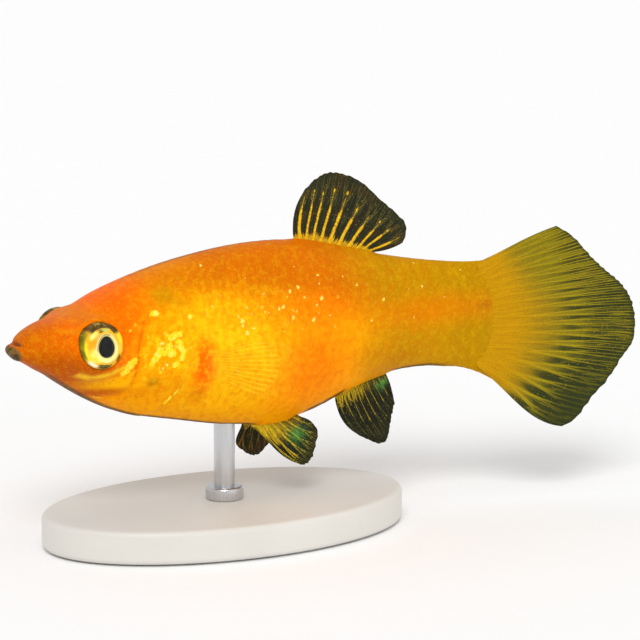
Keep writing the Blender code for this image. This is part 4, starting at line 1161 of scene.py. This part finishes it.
def add_wall(piece, thick):
    """Turns a flat piece into a wall as thick at each point as given, in millimetres."""
    most = float(thick.max())
    group = piece.vertex_groups.new(name="thickness")
    for k, value in enumerate((thick / most).tolist()):
        group.add((k,), value, "REPLACE")
    wall = piece.modifiers.new("wall", "SOLIDIFY")
    wall.thickness = most * MM
    wall.offset = 0.0
    wall.vertex_group = group.name
    wall.use_even_offset = False
    select_only(piece)
    bpy.ops.object.modifier_apply(modifier=wall.name)
    piece.vertex_groups.clear()
    found, wanted = len(piece.data.vertices), 2 * len(thick)
    if found != wanted:
        raise RuntimeError(f"{piece.name}: the wall has {found} points, not {wanted}")


def build_fin(name, kind, side, edge, material, node, stagger):
    """A fin of one thin web with branching rays raised in it, from a grid and a wall thickness."""
    form = FINS[kind]
    rays, sunk, web = form["rays"], form["sunk"], form["web"]
    rng = np.random.default_rng(20 + stagger)
    piece, grid = start_grid(name, rays * form["columns"], form["rows"])
    u = np.clip(grid[:, 0], 0, 1)
    v = grid[:, 1] * (1 + sunk) - sunk
    ray, core, number = ray_strength(form, u, np.maximum(v, 0), rng)
    place, outward = fin_places(kind, side, edge, form, u, v)
    # The edge is drawn in a little between rays, and torn a little here and there.
    waves = sum(np.sin(u * rays * rate + turn) for rate, turn in zip((3.1, 7.3, 11.9), rng.random(3) * 6))
    notch = form["notch"] * np.abs(np.cos(2 * math.pi * u * rays)) + 0.022 * waves - 0.05
    place -= outward * (ease(0.85, 1.0, v) * notch)[:, None]
    place[:, 1] += 0.05 * np.sin(2 * math.pi * u * rays) * ease(0.2, 0.9, v)
    thick = web * (1 - 0.45 * ease(0.6, 1.0, v)) + form["raised"] * ray * (1 - 0.6 * v)
    thick += (form["root_thick"] - web) * (1 - ease(0.0, 0.22, v))
    rim = ease(0.0, 0.012, np.minimum(u, 1 - u)) * (1 - 0.5 * ease(0.985, 1.0, v))
    thick *= 0.45 + 0.55 * rim
    set_places(piece, in_world(place))
    add_wall(piece, thick)
    # What the fin's material reads. The wall has each point of the grid twice.
    values = {"lie": place, "ray": ray}
    if kind in GOLD_REACH:
        values["gild"] = gold_on_rays(kind, u, v, ray, core, number)
        green = FIN_GLEAM.get((kind, side))
        values["gleam"] = oval(u, v, *green) if green else np.zeros(len(u))
    if kind == "caudal":
        values["core"] = core
        begins, ends = curve(DUSK_BEGINS, u), curve(DUSK_ENDS, u)
        values["dusk"] = ease(0.0, 1.0, (v - begins) / (ends - begins)) * curve(DUSK_DEPTH, u)
    if kind == "pectoral":
        values["out"] = v
    for key, value in values.items():
        add_values(piece, key, np.concatenate((value, value)))
    add_uv(piece, "fin", np.tile(np.stack((u, v), -1), (2, 1)))
    finish_piece(piece, material, (node,))
    return piece


def dark_fin_paint(name, sizes, gold, rays, wash, fringe=0.3, rear=1.0, fine=130.0, root=None, black=0.0):
    """A dark web with paler streaks along it, thin pale rays, and gold on the rays near the body.

    gold is how strong the gold is, and rays the rays' colour. wash is how far out the gold at the root
    reaches, fringe how ragged it ends, rear how much of it is left at the last ray, and root its colour.
    fine is how fine the streaks are, and black how black the web is.
    """
    paint = Paint(name, roughness=0.4, specular=0.08)
    place = paint.uv("fin")
    across, out = place["X"], place["Y"]
    lie = paint.attribute("lie", "Vector")
    streak = paint.streaks(place, fine)
    grain = paint.noise(lie, 6.0, 2.0, 0.6)
    paint.colour = paint.mix(paint.step(0.48, 0.72, streak), sizes.web_dark, sizes.web_pale)
    paint.lay(paint.step(0.45, 0.65, paint.noise(lie, 0.6, 1.0, 0.5)), sizes.web_warm, 0.5 * gold)
    paint.lay(black, sizes.web_black)
    thin = paint.step(0.38, 0.62, grain, 0.12, 0.75)
    paint.lay(paint.times(paint.attribute("ray"), thin, paint.step(0.97, 0.75, out, 0.35, 1.0)), rays)
    paint.lay(paint.step(0.62, 0.72, grain), sizes.ray_tip, 0.4)
    broken = paint.times(paint.attribute("gild"), paint.step(0.3, 0.52, grain, 0.62, 1.08))
    shade = paint.mix(paint.step(0.4, 0.6, grain), root or sizes.ray_root, sizes.ray_mid)
    shade = paint.mix(paint.step(0.62, 0.72, grain), shade, tint(255, 236, 90))
    paint.lay(paint.step(0.2, 0.8, broken), shade, gold)
    gleam = paint.times(paint.attribute("gleam"), paint.step(0.4, 0.62, streak, 0.25, 1.0))
    paint.lay(paint.times(gleam, paint.step(0.35, 0.55, grain, 0.5, 1.0)), sizes.green)
    glint = paint.times(paint.step(0.68, 0.76, grain), paint.step(0.95, 0.7, out, 0.2, 0.7))
    paint.lay(glint, tint(186, 180, 70))
    height = paint.math("ADD", out, paint.times(paint.math("SUBTRACT", 0.5, streak), fringe))
    near = paint.times(paint.rest(paint.step(wash * 0.3, wash, height)),
                       paint.step(0.4, 0.6, streak, 0.45, 1.0), paint.step(0.2, 0.75, across, 1.0, rear))
    paint.lay(near, shade, 0.95)
    return paint.finish(streak, 0.3, 0.00005)


def tail_fin_paint(name, sizes):
    """Gold inner part, dark streaks between the rays that grow outwards, and a dark margin."""
    paint = Paint(name, roughness=0.45, specular=0.06)
    place = paint.uv("fin")
    across, out = place["X"], place["Y"]
    ray, core, dusk = (paint.attribute(key) for key in ("ray", "core", "dusk"))
    streak = paint.streaks(place, 120.0)
    grain = paint.noise(paint.attribute("lie", "Vector"), 4.6, 3.0, 0.7)
    dark = sizes.tail_dark
    paint.colour = paint.mix(paint.step(0.1, 0.6, out), sizes.tail_gold, sizes.tail_olive)
    paint.lay(paint.times(paint.step(0.5, 0.0, across), paint.step(0.15, 0.6, out)), sizes.tail_pale, 0.6)
    paint.lay(paint.step(0.5, 0.3, grain), TAIL_BROWN, 0.35)
    paint.lay(paint.step(0.55, 0.72, grain), TAIL_LIT, 0.3)
    paint.lay(paint.times(paint.step(0.52, 0.36, streak), paint.step(0.9, 0.3, out, 0.05, 0.4)), TAIL_STREAK)
    # The web is a little dark all over, then dark where it is open between rays, and darkest far out.
    web = paint.rest(paint.step(0.2, 0.7, ray))
    paint.lay(paint.times(web, paint.step(0.1, 0.45, out, 0.0, 0.3)), dark)
    open_web = paint.times(web, paint.rest(paint.step(0.25, 0.75, core)))
    noisy = paint.math("ADD", dusk, paint.times(paint.math("SUBTRACT", streak, 0.5), 0.5))
    begun = paint.step(0.05, 0.4, paint.times(noisy, paint.step(0.0, 0.05, dusk)))
    paint.lay(paint.times(open_web, begun), dark, 0.9)
    late = paint.times(web, paint.step(0.3, 0.75, noisy))
    paint.lay(paint.times(late, paint.step(0.12, 0.45, across, 0.35, 1.0)), dark, 0.85)
    margin = paint.step(0.5, 1.1, dusk, 0.0, 0.55)
    paint.lay(paint.times(margin, paint.step(0.1, 0.45, across, 0.3, 1.0)), dark)
    # Paler lines and sparks in the dark part, then the dark lower corner, glints, and the dark edge.
    olive = sizes.tail_olive
    paint.lay(paint.times(paint.step(0.52, 0.62, streak), paint.step(0.15, 0.7, dusk)), olive, 0.55)
    paint.lay(paint.times(paint.step(0.58, 0.68, grain), paint.step(0.1, 0.6, dusk)), olive, 0.6)
    paint.lay(paint.times(paint.step(0.72, 0.95, across), paint.step(0.45, 0.9, out)), dark, 0.8)
    paint.lay(paint.times(paint.step(0.66, 0.74, grain), paint.step(0.95, 0.6, out)), tint(226, 204, 40), 0.6)
    paint.lay(paint.step(0.955, 1.0, out, 0.0, 0.6), dark)
    return paint.finish(grain, 0.3, 0.00004)


def clear_fin_paint(name, shade, glow, alpha):
    """A clear web or ray of one shade, with a second one in soft patches."""
    paint = Paint(name, roughness=0.4, specular=0.1, alpha=alpha)
    grain = paint.noise(paint.attribute("lie", "Vector"), 3.0, 2.0, 0.6)
    paint.surface("Base Color", paint.mix(paint.step(0.35, 0.7, grain), shade, glow))
    return paint.material


class MOLLY_OT_middle_fins(bpy.types.Operator):
    """Builds the fins of the middle plane: back, tail and anal fin"""

    bl_idname = "molly.middle_fins"
    bl_label = "Back, Tail and Anal Fins"

    def execute(self, context):
        sizes = context.scene.molly_fins
        back = dark_fin_paint("dorsal_web", sizes, gold=1.0, rays=sizes.ray_tip, wash=0.075)
        build_fin("dorsal_fin_rayed", "dorsal", 1, DORSAL_EDGE, back, "dorsal_fin", 1)
        tail = tail_fin_paint("tail_web", sizes)
        build_fin("caudal_fin_rayed", "caudal", 1, CAUDAL_EDGE, tail, "caudal_fin", 2)
        anal = dark_fin_paint("anal_web", sizes, gold=0.36, rays=tint(112, 106, 44), wash=0.17, fringe=1.2,
                              rear=0.15, fine=80.0, root=tint(186, 160, 18), black=0.55)
        build_fin("anal_fin_rayed", "anal", 1, ANAL_EDGE, anal, "anal_fin", 3)
        return {"FINISHED"}


class MOLLY_OT_paired_fins(bpy.types.Operator):
    """Builds the two belly fins and the two clear breast fins"""

    bl_idname = "molly.paired_fins"
    bl_label = "Belly and Breast Fins"

    def execute(self, context):
        sizes = context.scene.molly_fins
        web = clear_fin_paint("breast_fin_web", sizes.clear, sizes.ray_mid, 0.015)
        ray = clear_fin_paint("breast_fin_ray", tint(255, 206, 20), tint(255, 224, 40), 0.24)
        fold = clear_fin_paint("breast_fin_fold", tint(226, 124, 4), tint(238, 140, 4), 0.1)
        # Side, word, edge, and the belly fin's gold, rays' colour, wash and black.
        sides = [(-1, "left", PELVIC_EDGE_LEFT, 0.55, sizes.ray_pale, 0.4, 0.5),
                 (1, "right", PELVIC_EDGE_RIGHT, 0.1, sizes.ray_brown, 0.12, 0.0)]
        for side, word, edge, gold, rays, wash, black in sides:
            belly = dark_fin_paint("pelvic_web_" + word, sizes, gold, rays, wash, fringe=1.3, rear=0.3,
                                   fine=60.0, root=tint(206, 174, 12), black=black)
            build_fin("pelvic_fin_rayed_" + word, "pelvic", side, edge, belly,
                      "pelvic_fin_" + word, 4 + side)
            piece = build_fin("pectoral_fin_rayed_" + word, "pectoral", side, PECTORAL_EDGE, web,
                              "pectoral_fin_" + word, 8)
            piece.data.materials.append(ray)
            piece.data.materials.append(fold)
            strength, out = values_of(piece, "ray"), values_of(piece, "out")
            for face in piece.data.polygons:
                corners = list(face.vertices)
                far = out[corners].max()
                if strength[corners].mean() > 0.5:
                    face.material_index = 1 if far < 0.74 else 0
                else:
                    face.material_index = 2 if 0.08 < far < 0.5 else 0
        return {"FINISHED"}


def iris_colours(x, y, sizes):
    """The painted eye at places x towards the tail and y up from its middle, in millimetres."""
    radius, turn = np.hypot(x, y), np.degrees(np.arctan2(y, x)) % 360
    colour = np.empty((len(x), 3))
    colour[:] = sizes.iris_gold

    def blot(x0, y0, long, short, angle=0.0, soft=0.35):
        c, d = math.cos(math.radians(angle)), math.sin(math.radians(angle))
        along, across = (x - x0) * c + (y - y0) * d, (y - y0) * c - (x - x0) * d
        return 1 - ease(1 - soft, 1 + soft, np.hypot(along / long, across / short))

    def arc(start, end, inner, outer, soft=0.09):
        middle, wide = (start + end) / 2, (end - start) / 2
        aside = np.abs((turn - middle + 180) % 360 - 180)
        facing = 1 - ease(wide - 7, wide + 7, aside)
        return facing * stretch(radius, inner - soft, inner + soft, outer - soft, outer + soft)

    forms = {"blot": blot, "arc": arc}
    for form, numbers, shade in IRIS_LAYERS:
        lay_over(colour, forms[form](*numbers), shade_of(sizes, shade))
    ring = 1.22 + 0.1 * np.cos(np.radians(turn - 265)) + 0.03 * np.cos(np.radians(turn))
    lay_over(colour, 1 - ease(ring - 0.06, ring + 0.06, radius), sizes.iris_cream)
    lay_over(colour, arc(60, 200, 0.98, 1.05, 0.04), tint(150, 70, 30))
    return colour


def eye_paint(name):
    """The painted eye with the fine fibres of the iris, round a black pupil."""
    paint = Paint(name, roughness=0.3, specular=0.1)
    gaze = paint.attribute("gaze", "Vector")
    parts = paint.split(gaze)
    grain = paint.noise(gaze, 3.2, 3.0, 0.6)
    turn = paint.times(paint.math("ARCTAN2", parts["Y"], parts["X"]), 6.0)
    fibres = paint.noise(paint.join(turn, parts["Z"]), 1.6, 3.0, 0.6)
    paint.colour = paint.attribute("tint", "Color")
    paint.lay(paint.step(0.52, 0.72, grain, 0.0, 0.4), IRIS_LIT)
    paint.lay(paint.step(0.48, 0.3, grain, 0.0, 0.3), IRIS_BROWN)
    paint.lay(paint.attribute("pupil"), PUPIL_BLACK)
    return paint.finish(fibres, 0.25, 0.00003)


def cornea_paint(name):
    """A clear film that shows only its shine."""
    paint = Paint(name, roughness=0.03, metallic=1.0, alpha=0.006)
    paint.surface("Base Color", (1.0, 1.0, 1.0))
    return paint.material


def shape_eyeball(name, side, sizes):
    """An eyeball with its rim, its sunk iris and its domed pupil, and the values that its material reads."""
    middle, aim, tailward, upward = eye_frame(side)
    piece, share, turn = start_ball(name, 128, 128)
    knots = np.concatenate((np.linspace(0, 0.8, 12), np.linspace(0.84, 1, 5)))
    radius, height = (np.interp(share, knots, values) for values in zip(*EYE_PROFILE))
    # The pupil is taller than wide, and set back a little in the iris.
    core = 1 - ease(1.0, 2.2, radius)
    round_x, round_y = radius * np.cos(turn), radius * np.sin(turn)
    x = round_x * (1 - 0.12 * core * np.sin(turn)) + 0.2 * core
    y = round_y * (1 + (sizes.pupil / MM / PUPIL_EDGE - 1) * core) - 0.06 * core
    set_places(piece, in_world(middle + x[:, None] * tailward + y[:, None] * upward + height[:, None] * aim))
    inner = radius < 1.7
    add_values(piece, "gaze", np.stack((x, y, radius), -1))
    add_colours(piece, "tint", iris_colours(np.where(inner, round_x, x), np.where(inner, round_y, y), sizes))
    add_values(piece, "pupil", (share < 0.5) * (1 - ease(0.84, 0.9, radius)))
    return piece


def shape_cornea(name, side):
    """A thin dome over an eye: the front half of a ball outside, and its back half folded in under that."""
    middle, aim, tailward, upward = eye_frame(side)
    piece, share, turn = start_ball(name, 96, 64)
    outer = share <= 0.5
    radius = np.where(outer, EYE_RADIUS, EYE_RADIUS - 0.07) * np.sin(share * math.pi)
    height = np.where(outer, EYE_DEPTH, EYE_DEPTH - CORNEA_THICK) * np.abs(np.cos(share * math.pi))
    place = middle + (radius * np.cos(turn))[:, None] * tailward + (radius * np.sin(turn))[:, None] * upward
    set_places(piece, in_world(place + height[:, None] * aim))
    return piece


class MOLLY_OT_eyes(bpy.types.Operator):
    """Builds each eye: a ball with its sunk iris and domed pupil, under a clear cornea"""

    bl_idname = "molly.eyes"
    bl_label = "Eyes"

    def execute(self, context):
        sizes = context.scene.molly_eyes
        iris, clear = eye_paint("molly_iris"), cornea_paint("molly_cornea")
        for side, word in ((-1, "left"), (1, "right")):
            ball = shape_eyeball("eyeball_" + word, side, sizes)
            dome = shape_cornea("cornea_" + word, side)
            turn_outwards(ball, merge=True)
            turn_outwards(dome, merge=True)
            finish_piece(ball, iris, ("eye_" + word,))
            finish_piece(dome, clear)
        return {"FINISHED"}


def resin_paint(sizes):
    """Cast resin: a white that is a little cloudy, with fine specks."""
    paint = Paint("stand_resin", roughness=0.42, specular=0.4)
    speck = paint.noise(paint.objects(), 900.0, 3.0, 0.6)
    cloud = paint.noise(paint.objects(), 60.0, 2.0, 0.5)
    paint.colour = paint.mix(paint.step(0.3, 0.75, cloud), tuple(0.9 * c for c in sizes.white), sizes.white)
    paint.lay(paint.step(0.6, 0.75, speck), RESIN_SPECK, 0.12)
    paint.surface("Roughness", paint.step(0.2, 0.8, cloud, 0.38, 0.48))
    return paint.finish(speck, 0.15, 0.00004)


def steel_paint():
    """Turned steel with fine lines along it."""
    paint = Paint("rod_steel", roughness=0.28, metallic=1.0)
    place = paint.split(paint.objects())
    drawn = [paint.times(place[axis], count) for axis, count in (("X", 9000.0), ("Y", 9000.0), ("Z", 300.0))]
    lines = paint.noise(paint.join(*drawn), 1.0, 2.0, 0.6)
    paint.colour = paint.mix(lines, STEEL_DARK, STEEL_LIGHT)
    paint.surface("Roughness", paint.step(0.2, 0.8, lines, 0.22, 0.36))
    return paint.finish(lines, 0.1, 0.00002)


def column(name, radius, bottom, top, sides, edge, segments, scale=(1, 1, 1)):
    """An upright column over the origin, from one height to another, with rounded edges."""
    bpy.ops.object.select_all(action="DESELECT")
    bpy.ops.mesh.primitive_cylinder_add(vertices=sides, radius=radius, depth=top - bottom,
                                        location=(0, 0, (bottom + top) / 2))
    piece = bpy.context.object
    piece.name = name
    piece.scale = scale
    bpy.ops.object.transform_apply(location=True, rotation=False, scale=True)
    rounding = piece.modifiers.new("edge", "BEVEL")
    rounding.width = edge
    rounding.segments = segments
    rounding.limit_method = "ANGLE"
    bpy.ops.object.modifier_apply(modifier=rounding.name)
    return piece


class MOLLY_OT_stand(bpy.types.Operator):
    """Builds the oval base with its rounded edge, the rod and the collar where it is set in"""

    bl_idname = "molly.stand"
    bl_label = "Stand"

    def execute(self, context):
        sizes = context.scene.molly_stand
        thick, rod, small = sizes.thick, sizes.rod, 0.25 * MM
        base = column("stand_oval", 0.5, 0.0, thick, 128, sizes.edge, 6, (sizes.length, sizes.width, 1))
        finish_piece(base, resin_paint(sizes), ("stand_base",), crease=30)
        steel = steel_paint()
        low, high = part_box("stand_rod")
        pin = column("stand_pin_turned", rod, low.z, high.z, 64, small, 4)
        finish_piece(pin, steel, ("stand_rod",), crease=30)
        collar = column("stand_collar_low", rod + 0.9 * MM, thick, thick + 1.4 * MM, 64, small, 4)
        finish_piece(collar, steel, crease=30)
        return {"FINISHED"}


def aimed(name, data, location, way, axis):
    """Adds a lamp or a camera at a place, with one of its axes along a way."""
    made = bpy.data.objects.new(name, data)
    made.location = location
    made.rotation_mode = "QUATERNION"
    made.rotation_quaternion = way.to_track_quat(axis, "Y")
    bpy.context.scene.collection.objects.link(made)
    return made


class MOLLY_OT_stage(bpy.types.Operator):
    """Sets the pale floor, the soft lights and the camera"""

    bl_idname = "molly.stage"
    bl_label = "Stage"

    def execute(self, context):
        scene = context.scene
        sizes = scene.molly_studio
        paper = Paint("studio_paper", roughness=0.9, specular=0.1)
        tooth = paper.noise(paper.objects(), 400.0, 2.0, 0.6)
        paper.surface("Base Color", paper.mix(tooth, tuple(0.985 * c for c in sizes.floor), sizes.floor))
        bpy.ops.object.select_all(action="DESELECT")
        bpy.ops.mesh.primitive_plane_add(size=8.0, location=(0, 0, -0.0002))
        floor = context.object
        floor.name = "floor"
        floor.data.materials.append(paper.material)
        world = bpy.data.worlds.new("studio")
        world.use_nodes = True
        background = world.node_tree.nodes["Background"]
        background.inputs["Color"].default_value = (1.0, 1.0, 1.0, 1.0)
        background.inputs["Strength"].default_value = 0.7
        scene.world = world
        for name, way, wide, power in LAMPS:
            light = bpy.data.lights.new(name, "SUN")
            light.angle = math.radians(wide)
            light.energy = power
            aimed(name, light, Vector(way) * 0.5, Vector(way), "Z")
        target = Vector(in_world(np.array(LOOK_AT)).tolist())
        a, e = sizes.azimuth, sizes.elevation
        back = Vector((math.sin(a) * math.cos(e), -math.cos(a) * math.cos(e), math.sin(e)))
        camera = bpy.data.cameras.new("camera")
        camera.sensor_width = 36.0
        camera.lens = sizes.lens
        camera.clip_start = 0.01
        camera.clip_end = 20.0
        scene.camera = aimed("camera", camera, target + back * sizes.distance, -back, "-Z")
        scene.view_settings.view_transform = "Standard"
        return {"FINISHED"}


class MOLLY_PT_panel(bpy.types.Panel):
    """Lists the model's settings and the steps that build it"""

    bl_idname = "MOLLY_PT_panel"
    bl_label = "Gold Molly"
    bl_space_type = "VIEW_3D"
    bl_region_type = "UI"
    bl_category = "Molly"

    def draw(self, context):
        for name, settings, steps in PARTS:
            box = self.layout.box()
            box.label(text=name)
            group = getattr(context.scene, settings)
            for key in group.bl_rna.properties.keys():
                if key not in ("rna_type", "name"):
                    box.prop(group, key)
            for step in steps:
                box.operator(step)


PARTS = (
    ("Skin and scales", "molly_skin", ("molly.skin", "molly.scales")),
    ("Eyes", "molly_eyes", ("molly.eyes",)),
    ("Fins", "molly_fins", ("molly.middle_fins", "molly.paired_fins")),
    ("Stand", "molly_stand", ("molly.stand",)),
    ("Studio", "molly_studio", ("molly.stage",)),
)
SETTINGS = {
    "molly_skin": MollySkinSettings,
    "molly_eyes": MollyEyeSettings,
    "molly_fins": MollyFinSettings,
    "molly_stand": MollyStandSettings,
    "molly_studio": MollyStudioSettings,
}
CLASSES = (*SETTINGS.values(), MOLLY_OT_skin, MOLLY_OT_scales, MOLLY_OT_eyes, MOLLY_OT_middle_fins,
           MOLLY_OT_paired_fins, MOLLY_OT_stand, MOLLY_OT_stage, MOLLY_PT_panel)


def register():
    """Registers the classes, and hangs the settings on the scene."""
    for kind in CLASSES:
        bpy.utils.register_class(kind)
    for name, kind in SETTINGS.items():
        setattr(bpy.types.Scene, name, PointerProperty(type=kind))


def unregister():
    """Takes the settings and the classes away again."""
    for name in SETTINGS:
        delattr(bpy.types.Scene, name)
    for kind in reversed(CLASSES):
        bpy.utils.unregister_class(kind)


def main():
    """Builds everything through the operators."""
    register()
    bpy.ops.molly.skin()
    bpy.ops.molly.scales()
    bpy.ops.molly.eyes()
    bpy.ops.molly.middle_fins()
    bpy.ops.molly.paired_fins()
    bpy.ops.molly.stand()
    bpy.ops.molly.stage()


if __name__ == "__main__":
    main()
